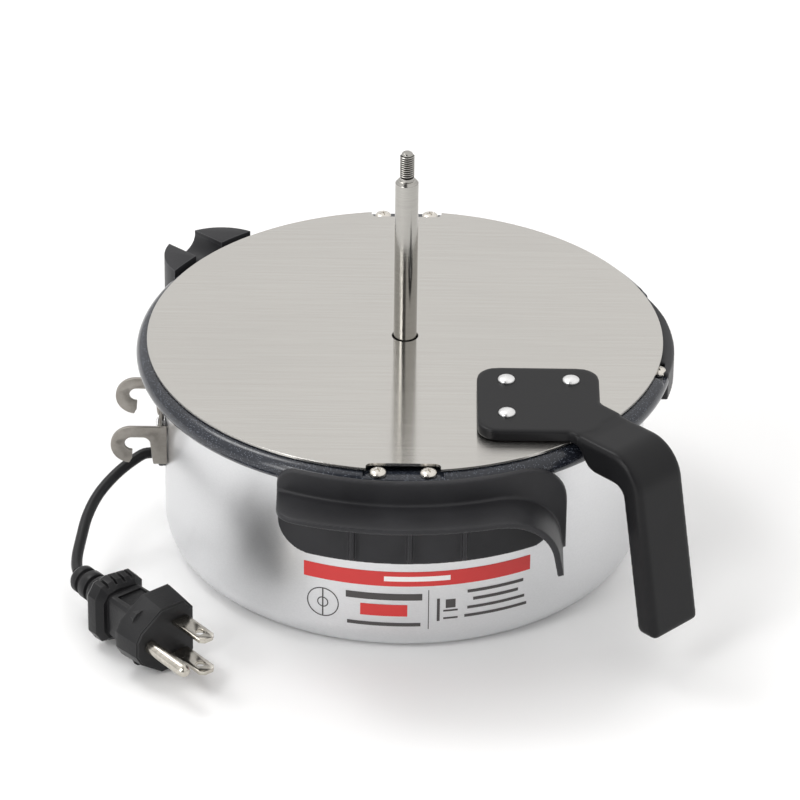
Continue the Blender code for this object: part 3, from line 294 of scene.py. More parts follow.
# Painted highlight on edges and creases: the mask is 1 where the surface turns sharply within the given
# width, and the colour made lighter there stands in for light caught by the rounding.
painted_edge_highlight, edge_in, edge_out = new_group(
    "painted_edge_highlight", [("Edge width", 0.0005)], [("Mask", "NodeSocketFloat")])
edge_round = node(painted_edge_highlight, "Bevel", ("Radius", edge_in.outputs["Edge width"]), samples=4)
edge_flat = node(painted_edge_highlight, "NewGeometry")
edge_dot = node(painted_edge_highlight, "VectorMath", (0, edge_round.outputs["Normal"]),
                (1, edge_flat.outputs["Normal"]), operation="DOT_PRODUCT")
painted_edge_highlight.links.new(span(painted_edge_highlight, edge_dot.outputs["Value"], 1.0, 0.93, 0.0, 1.0),
                      edge_out.inputs["Mask"])


def moulded_plastic(name, dark, light, edge, low, high, scale=1400.0, depth=0.00003, width=0.0005):
    """Grained moulding: two close colours in patches, edges and creases painted lighter as a highlight, and
    gloss from low to high.
    """
    material, tree, shader = plain_material(name, dark, low)
    grain = use_group(tree, moulded_grain, Grain_scale=scale, Grain_depth=depth)
    highlight_node = use_group(tree, painted_edge_highlight, Edge_width=width)
    body = blend_colours(tree, grain.outputs["Patch"], dark, light)
    # The edge colour is a painted highlight, laid where edges and creases turn sharply.
    feed(tree, shader, Base_Color=blend_colours(tree, highlight_node.outputs["Mask"], body, edge),
         Roughness=span(tree, grain.outputs["Patch"], 0.0, 1.0, low, high), Normal=grain.outputs["Normal"])
    shader.inputs["Specular IOR Level"].default_value = 0.2
    return material


lead_points = smooth_route([Vector(p) * MM for p in CORD_ROUTE], 1.2 * MM)
GROOVE_AT, GROOVE_HALF, GROOVE_DEPTH = 1.72 * pi, 0.22, 0.45 * MM
SECTION_STEPS = 28
section = []
for i in range(SECTION_STEPS):
    angle = 2.0 * pi * i / SECTION_STEPS
    groove = max(0.0, 1.0 - abs(angle - GROOVE_AT) / GROOVE_HALF)
    reach = CORD_R - GROOVE_DEPTH * groove
    section.append((reach * cos(angle), reach * sin(angle), 0.0))
lead_section = curve_object("lead_section", section, closed=True, flat=True)
lead_line = curve_object("lead", lead_points)
lead_line.data.twist_mode = "Z_UP"
lead_line.data.bevel_mode = "OBJECT"
lead_line.data.bevel_object = lead_section
lead_line.data.use_fill_caps = True


def alone(piece):
    """Selects this piece alone and makes it the active one."""
    start_clean()
    piece.select_set(True)
    bpy.context.view_layer.objects.active = piece


alone(lead_line)
bpy.ops.object.convert(target="MESH")
lead = bpy.context.object
lead.name = "lead"
bpy.data.objects.remove(lead_section)
bpy.ops.object.mode_set(mode="EDIT")
bpy.ops.mesh.select_all(action="SELECT")
bpy.ops.mesh.remove_doubles(threshold=0.00002)
bpy.ops.mesh.normals_make_consistent(inside=False)
bpy.ops.object.mode_set(mode="OBJECT")
bpy.ops.object.shade_smooth_by_angle(angle=radians(45.0))
# The third colour is a painted highlight on the edges of the lead, bush and plug.
black_pvc = moulded_plastic("black_pvc", (0.012, 0.012, 0.013), (0.02, 0.02, 0.021), (0.035, 0.035, 0.036),
                            0.28, 0.42, 1100.0, 0.00006)
lead.data.materials.append(black_pvc)
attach(lead, "kettle")
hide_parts("lead_cord")


POLE_R = 0.02 * MM


def placed(piece, place):
    """Moves a piece to its place and leaves its origin at the world's."""
    piece.matrix_world = place
    bpy.ops.object.transform_apply(location=True, rotation=True, scale=True)
    return piece


def turned(name, profile, steps=160, closed=False, place=Matrix()):
    """A profile of (radius, height) in mm turned about Z: a circle extruded and resized point by point."""
    start_clean()
    profile = [(max(r * MM, POLE_R), z * MM) for r, z in profile]
    radius, height = profile[0]
    fill = "NOTHING" if closed else "NGON"
    bpy.ops.mesh.primitive_circle_add(vertices=steps, radius=radius, fill_type=fill,
                                      location=(0.0, 0.0, height))
    piece = bpy.context.object
    piece.name = name
    bpy.ops.object.transform_apply(location=True, rotation=True, scale=True)
    bpy.ops.object.mode_set(mode="EDIT")
    bpy.ops.mesh.select_mode(type="EDGE")
    bpy.ops.mesh.select_all(action="SELECT")
    for r, z in profile[1:]:
        bpy.ops.mesh.extrude_edges_move()
        bpy.ops.transform.translate(value=(0.0, 0.0, z - height))
        bpy.ops.transform.resize(value=(r / radius, r / radius, 1.0), center_override=(0.0, 0.0, z))
        radius, height = r, z
    if closed:
        bpy.ops.mesh.select_all(action="DESELECT")
        bpy.ops.mesh.select_non_manifold()
        bpy.ops.mesh.bridge_edge_loops()
    else:
        bpy.ops.mesh.edge_face_add()
    bpy.ops.mesh.select_all(action="SELECT")
    bpy.ops.mesh.normals_make_consistent(inside=False)
    bpy.ops.object.mode_set(mode="OBJECT")
    return placed(piece, place)


def applied(piece, kind, **settings):
    """Adds a modifier with these settings to a piece, and applies it."""
    alone(piece)
    step = piece.modifiers.new("step", kind)
    for label, value in settings.items():
        setattr(step, label, value)
    bpy.ops.object.modifier_apply(modifier=step.name)
    return piece


def finished(piece, material, body, slot, *nodes, width=0.0, angle=35.0, steps=3):
    """Rounds a piece's edges, shades it smooth, gives it its material and body, and hides its CAD nodes; the
    slot is not used.
    """
    if width > 0.0:
        applied(piece, "BEVEL", width=width, segments=steps, limit_method="ANGLE", angle_limit=radians(angle),
                miter_outer="MITER_ARC", use_clamp_overlap=True)
    alone(piece)
    bpy.ops.object.shade_smooth_by_angle(angle=radians(angle))
    piece.data.materials.clear()
    piece.data.materials.append(material)
    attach(piece, body)
    if nodes:
        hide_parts(*nodes)
    return piece


# ---- lead bush -------------------------------------------------------------------------------------
# A flanged rubber-like bush snapped into the casing's wall, with a ribbed nose that the lead comes out of.
BUSH_PLACE = Matrix.Translation(Vector((0.0, -7.2, 32.6)) * MM) @ Matrix.Rotation(-pi / 2.0, 4, "Y")
bush_profile = [(0.0, 87.1), (2.5, 87.1), (2.9, 86.8), (3.2, 85.9), (2.9, 85.7), (3.4, 85.4), (4.3, 85.2),
                (4.6, 84.8), (4.6, 83.7), (4.5, 83.6), (4.5, 80.2), (0.0, 80.2)]
lead_bush = turned("lead_bush", bush_profile, 48, place=BUSH_PLACE)
finished(lead_bush, black_pvc, "kettle", "black_cord", "lead_bushing", angle=30.0)

# ---- plug ------------------------------------------------------------------------------------------
# A right-sized three-pin plug moulded in PVC round its pins: a faceted skirt behind a flat face, a waist,
# a ribbed finger collar, and the slotted strain relief that the lead comes out of.
PLUG_PLACE = Matrix.Translation(Vector((-74.7, -93.3, 13.7)) * MM) @ Matrix.Rotation(radians(-50.5), 4, "Z")
PLUG_MIDDLE = -5.0
ACROSS = Matrix(((0, 0, 1, 0), (1, 0, 0, 0), (0, 1, 0, 0), (0, 0, 0, 1)))     # outline (y, z), depth along x
END_ON = PLUG_PLACE @ ACROSS
BACKWARD = PLUG_PLACE @ Matrix.Translation((0.0, PLUG_MIDDLE * MM, 0.0)) @ Matrix.Rotation(-pi / 2.0, 4, "Y")


def arc(centre, radius, start, end, count):
    """Points on an arc, both ends included; angles in degrees."""
    angles = [radians(start + (end - start) * i / count) for i in range(count + 1)]
    return [(centre[0] + radius * cos(a), centre[1] + radius * sin(a)) for a in angles]


def rounded_rectangle(x0, y0, x1, y1, radii, count=8):
    """Outline from the lower-left corner round, with a radius for each corner in that order."""
    corners = ((x0, y0, 180), (x1, y0, 270), (x1, y1, 0), (x0, y1, 90))
    signs = ((1, 1), (-1, 1), (-1, -1), (1, -1))
    outline = []
    for (x, y, start), (sx, sy), radius in zip(corners, signs, radii):
        outline += arc((x + sx * radius, y + sy * radius), radius, start, start + 90, count)
    return outline


def traced(name, points):
    """A new mesh of one open line through points in mm, left in edit mode."""
    start_clean()
    bpy.ops.mesh.primitive_plane_add(size=MM)
    piece = bpy.context.object
    piece.name = name
    bpy.ops.object.mode_set(mode="EDIT")
    bpy.ops.mesh.select_mode(type="VERT")
    bpy.ops.mesh.select_all(action="SELECT")
    bpy.ops.mesh.merge(type="CENTER")
    points = [tuple(value * MM for value in point) for point in points]
    bpy.ops.transform.translate(value=points[0])
    for start, end in zip(points, points[1:]):
        move = tuple(b - a for a, b in zip(start, end))
        bpy.ops.mesh.extrude_vertices_move(TRANSFORM_OT_translate={"value": move})
    bpy.ops.mesh.select_all(action="SELECT")
    return piece


def slab(name, outline, depths, place=Matrix(), scales=(1.0, 1.0)):
    """An outline in mm, filled and extruded from depth to depth, with a scale for each depth."""
    piece = traced(name, [(x, y, depths[0]) for x, y in outline])
    bpy.ops.mesh.edge_face_add()
    bpy.ops.mesh.select_mode(type="FACE")
    centre = [sum(values) / len(outline) * MM for values in zip(*outline)]
    levels = [z * MM for z in depths]
    depth, size = levels[0], scales[0]
    for z, scale in zip(levels[1:], scales[1:]):
        bpy.ops.mesh.extrude_region_move(TRANSFORM_OT_translate={"value": (0.0, 0.0, z - depth)})
        if scale != size:
            bpy.ops.transform.resize(value=(scale / size, scale / size, 1.0), center_override=(*centre, z))
        depth, size = z, scale
    bpy.ops.mesh.select_all(action="SELECT")
    bpy.ops.mesh.normals_make_consistent(inside=False)
    bpy.ops.object.mode_set(mode="OBJECT")
    return placed(piece, place)


def bar(name, radius, start, end, steps=48, place=Matrix()):
    """A round bar between two points in mm, used to cut or to trim."""
    start, end = place @ (Vector(start) * MM), place @ (Vector(end) * MM)
    turn = (end - start).to_track_quat("Z", "Y").to_matrix().to_4x4()
    start_clean()
    bpy.ops.mesh.primitive_cylinder_add(vertices=steps, radius=radius * MM, depth=(end - start).length)
    bpy.context.object.name = name
    return placed(bpy.context.object, Matrix.Translation((start + end) / 2.0) @ turn)


def block(name, low, high, place=Matrix()):
    """A block between two corners in mm, used to cut a slot or to add a rib."""
    low, high = Vector(low) * MM, Vector(high) * MM
    start_clean()
    bpy.ops.mesh.primitive_cube_add(size=1.0)
    bpy.context.object.name = name
    stretched = Matrix.Translation((low + high) / 2.0) @ Matrix.Diagonal((*(high - low), 1.0))
    return placed(bpy.context.object, place @ stretched)


def shaped(piece, operation, *tools):
    """Cuts, joins or trims a piece with others, which are used up."""
    for tool in tools:
        applied(piece, "BOOLEAN", operation=operation, solver="EXACT", object=tool)
        bpy.data.objects.remove(tool)
    return piece


SKIRT_W, SKIRT_H = 12.7, 13.2
skirt_outline = [(PLUG_MIDDLE + SKIRT_W * y, SKIRT_H * z) for y, z in
                 ((0.95, -0.68), (0.95, 0.68), (0.68, 1.0), (-0.15, 1.0), (-0.88, 0.5), (-1.04, 0.22),
                  (-1.04, -0.22), (-0.88, -0.5), (-0.15, -1.0), (0.68, -1.0))]
plug_skirt = slab("plug_skirt", skirt_outline, (-11.0, -9.6, -0.6, -0.6, 0.0), END_ON,
                  (1.0, 1.0, 0.945, 0.90, 0.89))
waist_outline = rounded_rectangle(PLUG_MIDDLE - 8.0, -8.6, PLUG_MIDDLE + 7.6, 8.6, (3.0,) * 4, 3)
waist = slab("waist", waist_outline, (-31.0, -24.0, -13.0, -6.0), END_ON, (1.0, 0.94, 1.0, 1.25))
collar_outline = [(PLUG_MIDDLE + y, z) for y, z in
                  ((8.5, -7.2), (8.5, 7.2), (5.5, 10.4), (-3.0, 11.4), (-8.0, 10.4), (-10.5, 6.6),
                   (-10.5, -6.6), (-8.0, -10.4), (-3.0, -11.4), (5.5, -10.4))]
collar = slab("collar", collar_outline, (-30.6, -29.6, -25.8, -23.4), END_ON, (1.0, 1.06, 1.04, 0.84))
shaped(plug_skirt, "UNION", waist, collar)
SLOT_FIRST, SLOT_PITCH, SLOT_HALF, SLOT_AT = -6.0, 3.4, 0.5, 10.9
FLAT_FLOOR, FLAT_OVER = 7.3, 12.0
grip_cuts = []
for side in (-1.0, 1.0):
    for i in range(4):
        y = PLUG_MIDDLE + SLOT_FIRST + SLOT_PITCH * i
        grip_cuts.append(block("grip_slot", (-32.0, y - SLOT_HALF, side * SLOT_AT - 0.9),
                               (-24.6, y + SLOT_HALF, side * SLOT_AT + 2.6), PLUG_PLACE))
for side in (-1.0, 1.0):
    low_z, high_z = sorted((side * FLAT_FLOOR, side * FLAT_OVER))
    grip_cuts.append(block("finger_flat", (-21.0, PLUG_MIDDLE - 5.0, low_z),
                           (-13.5, PLUG_MIDDLE + 4.8, high_z), PLUG_PLACE))
shaped(plug_skirt, "DIFFERENCE", *grip_cuts)
finished(plug_skirt, black_pvc, "kettle", "black_cord", "plug_body", width=0.45 * MM, angle=28.0)

relief_profile = [(0.0, 49.8), (2.9, 49.8), (4.2, 49.3), (4.9, 48.2), (4.9, 46.0), (3.7, 45.8), (3.7, 44.3),
                  (5.0, 44.1), (5.2, 43.8), (5.2, 40.6), (3.9, 40.4), (3.9, 38.9), (5.4, 38.7), (5.6, 38.3),
                  (5.7, 31.6), (5.4, 31.3), (0.0, 31.3)]
plug_relief = turned("plug_strain_relief", relief_profile, 48, place=BACKWARD)
finished(plug_relief, black_pvc, "kettle", "black_cord", "plug_relief", width=0.18 * MM, angle=40.0, steps=2)

# ---- plug pins -------------------------------------------------------------------------------------
# Two flat blades, each with a round hole and a chamfered tip, and the longer round ground pin with its
# domed tip; stamped or turned brass under bright nickel, faintly streaked along their length.
brushed, brush_in, brush_out = new_group(
    "brushed", [("Across", 900.0), ("Along", 14.0), ("Depth", 0.000004)],
    [("Streak", "NodeSocketFloat"), ("Cloud", "NodeSocketFloat"), ("Normal", "NodeSocketVector")])
brush_place = node(brushed, "TexCoord")
brush_split = node(brushed, "SeparateXYZ", ("Vector", brush_place.outputs["Object"]))
brush_join = node(brushed, "CombineXYZ", *[
    (axis, math_node(brushed, "MULTIPLY", brush_split.outputs[axis], brush_in.outputs[rate]))
    for axis, rate in (("X", "Along"), ("Y", "Across"), ("Z", "Across"))])
brush_noise = node(brushed, "TexNoise", ("Vector", brush_join.outputs["Vector"]), ("Scale", 1.0),
                   ("Detail", 5.0), ("Roughness", 0.62))
brushed.links.new(brush_noise.outputs["Fac"], brush_out.inputs["Streak"])
brushed.links.new(bump(brushed, brush_noise.outputs["Fac"], brush_in.outputs["Depth"]),
                  brush_out.inputs["Normal"])
brushed.links.new(span(brushed, noise(brushed, 16.0, 3.0), 0.35, 0.65, 0.0, 1.0),
                  brush_out.inputs["Cloud"])


def streaked_metal(name, dark, light, low, high, across, along, depth):
    """Bare metal with fine streaks along X: colour and roughness follow them."""
    material, tree, shader = plain_material(name, light, low, 1.0)
    streaks = use_group(tree, brushed, Across=across, Along=along, Depth=depth)
    streak = streaks.outputs["Streak"]
    feed(tree, shader, Normal=streaks.outputs["Normal"],
         Base_Color=two_tone(tree, streak, 0.3, 0.7, dark, light),
         Roughness=math_node(tree, "ADD", span(tree, streak, 0.3, 0.7, low, high),
                             span(tree, streaks.outputs["Cloud"], 0.0, 1.0, -0.015, 0.015)))
    return material, tree, shader


bright_nickel = streaked_metal("bright_nickel", (0.44, 0.41, 0.36), (0.62, 0.59, 0.53), 0.15, 0.27,
                               700.0, 500.0, 0.000002)[0]
BLADE_Z, BLADE_HALF_W, BLADE_HALF_T, BLADE_OUT, BLADE_TIP = 6.35, 3.17, 0.76, 16.8, 1.5
HOLE_X = 11.7
for z, label in ((BLADE_Z, "upper"), (-BLADE_Z, "lower")):
    outline = [(0.3, -BLADE_HALF_W), (BLADE_OUT - BLADE_TIP, -BLADE_HALF_W),
               (BLADE_OUT, -BLADE_HALF_W + BLADE_TIP), (BLADE_OUT, BLADE_HALF_W - BLADE_TIP),
               (BLADE_OUT - BLADE_TIP, BLADE_HALF_W), (0.3, BLADE_HALF_W)]
    blade = slab(f"plug_blade_{label}_strip", outline, (z - BLADE_HALF_T, z + BLADE_HALF_T), PLUG_PLACE)
    shaped(blade, "DIFFERENCE", bar("blade_hole", 1.6, (HOLE_X, 0.0, z - 3.0), (HOLE_X, 0.0, z + 3.0), 32,
                                    PLUG_PLACE))
    finished(blade, bright_nickel, "kettle", "plated_blade", f"plug_blade_{label}",
                         width=0.22 * MM, angle=40.0, steps=2)
pin_r = 2.38
pin_profile = [(0.0, 20.6), (0.8, 20.5), (1.5, 20.1), (2.1, 19.2), (pin_r, 17.8), (pin_r, 0.3), (0.0, 0.3)]
FORWARD = PLUG_PLACE @ Matrix.Translation((0.0, -11.9 * MM, 0.0)) @ Matrix.Rotation(pi / 2.0, 4, "Y")
ground_pin = turned("plug_ground_pin_turned", pin_profile, 40, place=FORWARD)
finished(ground_pin, bright_nickel, "kettle", "plated_blade", "plug_ground_pin", angle=50.0)

# ---- casing ----------------------------------------------------------------------------------------
# Drawn and polished aluminium tub with a rounded bottom corner: satin, faintly streaked round its wall.
CASING_R = 83.3
CASING_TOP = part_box("outer_casing")[1].z / MM
casing_outer = [(CASING_R, CASING_TOP - 0.1)] + arc((CASING_R - 10.0, 10.0), 10.0, 0.0, -90.0, 16)
casing_inner = arc((CASING_R - 10.0, 10.2), 9.2, -90.0, 0.0, 12)
casing_profile = casing_outer + [(60.0, 0.0), (0.0, 0.0), (0.0, 1.0)] + casing_inner + \
    [(CASING_R - 0.8, CASING_TOP), (CASING_R - 0.2, CASING_TOP)]
casing = turned("casing_shell", casing_profile, 192, closed=True)
satin_aluminium, tree, shader = plain_material("satin_aluminium", (0.71, 0.715, 0.725), 0.33, 1.0)
satin = noise(tree, 1100.0, 3.0, (1.0, 1.0, 2.2))
cloud = noise(tree, 14.0, 3.0)
feed(tree, shader, Base_Color=two_tone(tree, satin, 0.35, 0.65, (0.695, 0.70, 0.71), (0.725, 0.73, 0.74)),
     Roughness=math_node(tree, "ADD", span(tree, satin, 0.3, 0.7, 0.31, 0.35),
                         span(tree, cloud, 0.35, 0.65, -0.02, 0.03)),
     Normal=bump(tree, satin, 0.000001))
finished(casing, satin_aluminium, "kettle", "satin_casing", "outer_casing", angle=30.0)

# ---- decal -----------------------------------------------------------------------------------------
# Clear film wrapped on the casing under the front holder, printed with a red band over two panels. The
# words and pictures of a real one are left out; plain bars and a ringed mark take their place.
DECAL_FROM, DECAL_TO = radians(-113.4), radians(-58.7)
DECAL_LOW, DECAL_HIGH = 9.3, 33.3
decal_r = CASING_R + 0.06
decal_x, decal_y = decal_r * cos(DECAL_FROM), decal_r * sin(DECAL_FROM)
decal = traced("decal", [(decal_x, decal_y, DECAL_LOW), (decal_x, decal_y, DECAL_HIGH)])
bpy.ops.mesh.spin(steps=48, angle=DECAL_FROM - DECAL_TO, center=(0.0, 0.0, 0.0), axis=(0.0, 0.0, 1.0))
bpy.ops.mesh.select_all(action="SELECT")
bpy.ops.mesh.remove_doubles(threshold=0.00001)
bpy.ops.object.mode_set(mode="OBJECT")
sheet_map = decal.data.uv_layers.new(name="printed")
for loop in decal.data.loops:
    corner = decal.data.vertices[loop.vertex_index].co
    turn = (atan2(corner.y, corner.x) - DECAL_FROM) * CASING_R
    sheet_map.data[loop.index].uv = (turn, corner.z / MM - DECAL_LOW)
if decal.data.polygons[0].normal.dot(decal.data.polygons[0].center) < 0.0:
    decal.data.flip_normals()
applied(decal, "SOLIDIFY", thickness=0.04 * MM, offset=-1.0)
decal_print, tree, shader = plain_material("decal_print", (0.86, 0.86, 0.86), 0.42)
decal_uv = node(tree, "UVMap", uv_map="printed")
decal_split = node(tree, "SeparateXYZ", ("Vector", decal_uv.outputs["UV"]))
across, up = decal_split.outputs["X"], decal_split.outputs["Y"]


def between(value, low, high):
    """1 where the value is between the two limits, and 0 elsewhere."""
    return math_node(tree, "MULTIPLY", math_node(tree, "GREATER_THAN", value, low),
                     math_node(tree, "LESS_THAN", value, high))


def patch(low_x, high_x, low_y, high_y):
    """1 inside a rectangle of the decal, in millimetres along it and up it, and 0 outside."""
    return math_node(tree, "MULTIPLY", between(across, low_x, high_x), between(up, low_y, high_y))


def ringed(x, y, inner, outer):
    """1 between two circles round a point of the decal, and 0 elsewhere."""
    dx = math_node(tree, "POWER", math_node(tree, "SUBTRACT", across, x), 2.0)
    dy = math_node(tree, "POWER", math_node(tree, "SUBTRACT", up, y), 2.0)
    return between(math_node(tree, "SQRT", math_node(tree, "ADD", dx, dy)), inner, outer)


def any_of(masks):
    """1 where any of the masks is 1."""
    total = masks[0]
    for mask in masks[1:]:
        total = math_node(tree, "MAXIMUM", total, mask)
    return total


DECAL_WIDE = (DECAL_TO - DECAL_FROM) * CASING_R
SPLIT_X = 43.0
RING_X, RING_Y = 6.9, 9.0
ink = [patch(SPLIT_X, SPLIT_X + 0.3, 1.0, 16.6), patch(RING_X - 0.25, RING_X + 0.25, 3.6, 14.4),
       ringed(RING_X, RING_Y, 5.3, 5.7), ringed(RING_X, RING_Y, 1.6, 2.0)]
ink += [patch(15.0, 41.0, 12.6, 15.2), patch(15.5, 40.5, 2.2, 3.6)]
ink += [patch(46.0, 47.0, 4.0, 13.0), patch(48.2, 53.2, 7.6, 8.3), patch(48.2, 53.2, 4.6, 5.3),
        patch(49.0, 52.4, 9.0, 12.4)]
ink += [patch(56.5, 77.0, 14.2, 15.4), patch(58.5, 75.0, 11.0, 12.2), patch(56.5, 77.5, 7.8, 8.9),
        patch(55.5, 78.4, 4.6, 5.7)]
red = [patch(0.0, DECAL_WIDE, 18.2, 24.0), patch(20.0, 36.0, 6.2, 10.8)]
print_red = blend_colours(tree, any_of(red), (0.055, 0.05, 0.05), (0.60, 0.030, 0.028))
print_bar = blend_colours(tree, patch(28.0, 50.5, 20.2, 22.1), print_red, (0.86, 0.84, 0.83))
feed(tree, shader, Alpha=any_of(ink + red), Base_Color=print_bar,
     Roughness=span(tree, noise(tree, 60.0, 3.0), 0.3, 0.7, 0.34, 0.48))
decal.data.materials.append(decal_print)
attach(decal, "kettle")

# ---- pan -------------------------------------------------------------------------------------------
# Pressed pan with a rolled rim, enamelled charcoal with a fine pale fleck. The rim is pressed flat where
# screws go through it into the holders, and cut back on the right to take the side lug.
BEAD_R, BEAD_TUBE = 88.7, 4.0
BEAD_CREST = LID_TOP / MM - 1.3
BEAD_Z = BEAD_CREST - BEAD_TUBE
FLANGE_TOP = BEAD_CREST - 2.8
FLANGE_UNDER = FLANGE_TOP - 1.6
PAN_R, PAN_FLOOR = 80.0, 44.0
meet_low = degrees(asin((FLANGE_UNDER - BEAD_Z) / BEAD_TUBE))
meet_top = degrees(asin((FLANGE_TOP - BEAD_Z) / BEAD_TUBE))
pan_profile = arc((BEAD_R, BEAD_Z), BEAD_TUBE, 90.0, -180.0 - meet_low, 40)
pan_profile += arc((PAN_R + 2.2, FLANGE_UNDER - 2.2), 2.2, 90.0, 180.0, 5)
pan_profile += arc((PAN_R - 9.0, PAN_FLOOR + 7.4), 9.0, 0.0, -90.0, 10)
pan_profile += [(6.3, PAN_FLOOR - 1.6), (6.3, PAN_FLOOR)]
pan_profile += arc((PAN_R - 9.0, PAN_FLOOR + 7.4), 7.4, -90.0, 0.0, 10)
pan_profile += arc((PAN_R + 0.6, FLANGE_TOP - 2.2), 2.2, 180.0, 90.0, 5)
pan_profile += arc((BEAD_R, BEAD_Z), BEAD_TUBE, 180.0 - meet_top, 90.0, 8)[:-1]
pan = turned("pan_and_rim", pan_profile, 192, closed=True)
TAB_Z = BEAD_CREST - 1.1
LUG_TAB_Z = BEAD_CREST - 2.2
TAB_HALF, TAB_IN, RIM_OVER, RIM_ABOVE = 13.5, 83.8, 97.0, 78.0
for low_y, high_y in ((-RIM_OVER, -TAB_IN), (TAB_IN, RIM_OVER)):
    shaped(pan, "DIFFERENCE", block("tab_cut", (-TAB_HALF, low_y, TAB_Z), (TAB_HALF, high_y, RIM_ABOVE)))
for inner, low, start, end in ((84.7, LUG_TAB_Z, -16.0, 25.5), (90.0, 66.0, -12.8, 23.3)):
    ring = [(RIM_OVER, RIM_ABOVE), (RIM_OVER, low), (inner, low), (inner, RIM_ABOVE)]
    side_cut = turned("side_cut", ring, 192, closed=True)
    wedge = [(0.0, 0.0)] + arc((0.0, 0.0), 130.0, start, end, 12)
    shaped(side_cut, "INTERSECT", slab("side_wedge", wedge, (60.0, 80.0)))
    shaped(pan, "DIFFERENCE", side_cut)
flecked_enamel, tree, shader = plain_material("flecked_enamel", (0.020, 0.023, 0.032), 0.30)
fleck_place = node(tree, "TexCoord")
flecks = node(tree, "TexVoronoi", ("Vector", fleck_place.outputs["Object"]), ("Scale", 3000.0))
fleck_split = node(tree, "SeparateColor", ("Color", flecks.outputs["Color"]))
chosen = math_node(tree, "GREATER_THAN", fleck_split.outputs["Red"], 0.80)
dot = span(tree, flecks.outputs["Distance"], 0.45, 0.28, 0.0, 1.0)
fleck_mask = math_node(tree, "MULTIPLY", chosen, dot)
slate = two_tone(tree, noise(tree, 45.0, 4.0), 0.35, 0.65, (0.012, 0.014, 0.020), (0.017, 0.020, 0.028))
feed(tree, shader, Base_Color=blend_colours(tree, fleck_mask, slate, (0.16, 0.18, 0.22)),
     Roughness=span(tree, noise(tree, 500.0, 3.0), 0.3, 0.7, 0.13, 0.22),
     Normal=bump(tree, noise(tree, 900.0, 4.0), 0.000004))
finished(pan, flecked_enamel, "kettle", "speckled_nonstick", "inner_pan", width=0.25 * MM, angle=50.0,
         steps=2)

# ---- lid -------------------------------------------------------------------------------------------
# Flat disc blanked from brushed stainless sheet, grain from left to right, notched front and back to clear
# the rim's screws, with a round hole that slides up the shaft.
LID_R, HOLE_R = 89.0, 4.5
LID_THICK, LID_SOFT = 1.0, 0.12
lid_top = LID_TOP / MM
lid_under = lid_top - LID_THICK
lid_profile = [(LID_R - LID_SOFT, lid_top), (LID_R, lid_top - LID_SOFT), (LID_R, lid_under + LID_SOFT),
               (LID_R - LID_SOFT, lid_under), (HOLE_R + LID_SOFT, lid_under), (HOLE_R, lid_under + LID_SOFT),
               (HOLE_R, lid_top - LID_SOFT), (HOLE_R + LID_SOFT, lid_top)]
lid = turned("lid_disc", lid_profile, 240, closed=True)
NOTCH_HALF, NOTCH_IN, NOTCH_R = 12.5, 84.8, 2.2
for turn in (0.0, pi):
    notch = rounded_rectangle(-NOTCH_HALF, NOTCH_IN, NOTCH_HALF, 98.0, (NOTCH_R,) * 4)
    shaped(lid, "DIFFERENCE", slab("notch", notch, (75.0, 78.0), Matrix.Rotation(turn, 4, "Z")))
brushed_stainless, tree, shader = streaked_metal("brushed_stainless", (0.525, 0.51, 0.485),
                                                 (0.61, 0.595, 0.565), 0.17, 0.24, 4200.0, 26.0, 0.0000003)
alone(lid)
bpy.ops.object.mode_set(mode="EDIT")
bpy.ops.mesh.select_all(action="SELECT")
bpy.ops.uv.cube_project(cube_size=0.2)
bpy.ops.object.mode_set(mode="OBJECT")
shader.inputs["Anisotropic"].default_value = 1.0
shader.inputs["Anisotropic Rotation"].default_value = 0.25
lid_tangent = node(tree, "Tangent", direction_type="UV_MAP", uv_map=lid.data.uv_layers[0].name)
feed(tree, shader, Tangent=lid_tangent.outputs["Tangent"])
finished(lid, brushed_stainless, "lid", "brushed_stainless", "lid", angle=30.0)

# ---- shaft -----------------------------------------------------------------------------------------
# Centreless-ground stainless rod with a chamfered shoulder and a rolled M5 thread; the stirrer's driver
# screws on there. Its foot runs in the bush in the pan's floor.
SHOULDER, TIP, SHAFT_R, THREAD_R, CORE_R, PITCH, TURNS = 138.0, 148.5, 4.0, 2.5, 1.95, 0.8, 10
CHAMFER, SHAFT_FOOT = 1.05, 38.5
shaft_profile = [(0.0, TIP - 0.02), (1.5, TIP - 0.02), (CORE_R, TIP - 0.5), (CORE_R, SHOULDER + 1.2),
                 (2.42, SHOULDER + 1.0), (2.42, SHOULDER), (SHAFT_R - CHAMFER, SHOULDER),
                 (SHAFT_R, SHOULDER - CHAMFER), (SHAFT_R, SHAFT_FOOT + 1.0), (SHAFT_R - 1.0, SHAFT_FOOT),
                 (0.0, SHAFT_FOOT)]
shaft = turned("shaft_rod", shaft_profile, 64)
ridge = [(1.85, 0.0), (2.0, 0.0), (THREAD_R, 0.33), (THREAD_R, 0.47), (2.0, PITCH), (1.85, PITCH)]
thread = traced("shaft_thread", [(r, 0.0, SHOULDER + 1.0 + z) for r, z in ridge])
bpy.ops.mesh.edge_face_add()
bpy.ops.mesh.delete(type="ONLY_FACE")
bpy.ops.object.mode_set(mode="OBJECT")
applied(thread, "SCREW", angle=2.0 * pi, screw_offset=PITCH * MM, iterations=TURNS, steps=28,
        render_steps=28)
bpy.ops.object.mode_set(mode="EDIT")
bpy.ops.mesh.select_all(action="DESELECT")
bpy.ops.mesh.select_non_manifold()
bpy.ops.mesh.edge_face_add()
bpy.ops.mesh.select_all(action="SELECT")
bpy.ops.mesh.normals_make_consistent(inside=False)
bpy.ops.object.mode_set(mode="OBJECT")
ground_steel, tree, shader = plain_material("ground_steel", (0.56, 0.54, 0.51), 0.25, 1.0)
turning = noise(tree, 1.0, 4.0, (60.0, 60.0, 4200.0))
bare_steel = two_tone(tree, turning, 0.35, 0.65, (0.36, 0.35, 0.33), (0.42, 0.41, 0.385))
shaft_place = node(tree, "TexCoord")
shaft_split = node(tree, "SeparateXYZ", ("Vector", shaft_place.outputs["Object"]))
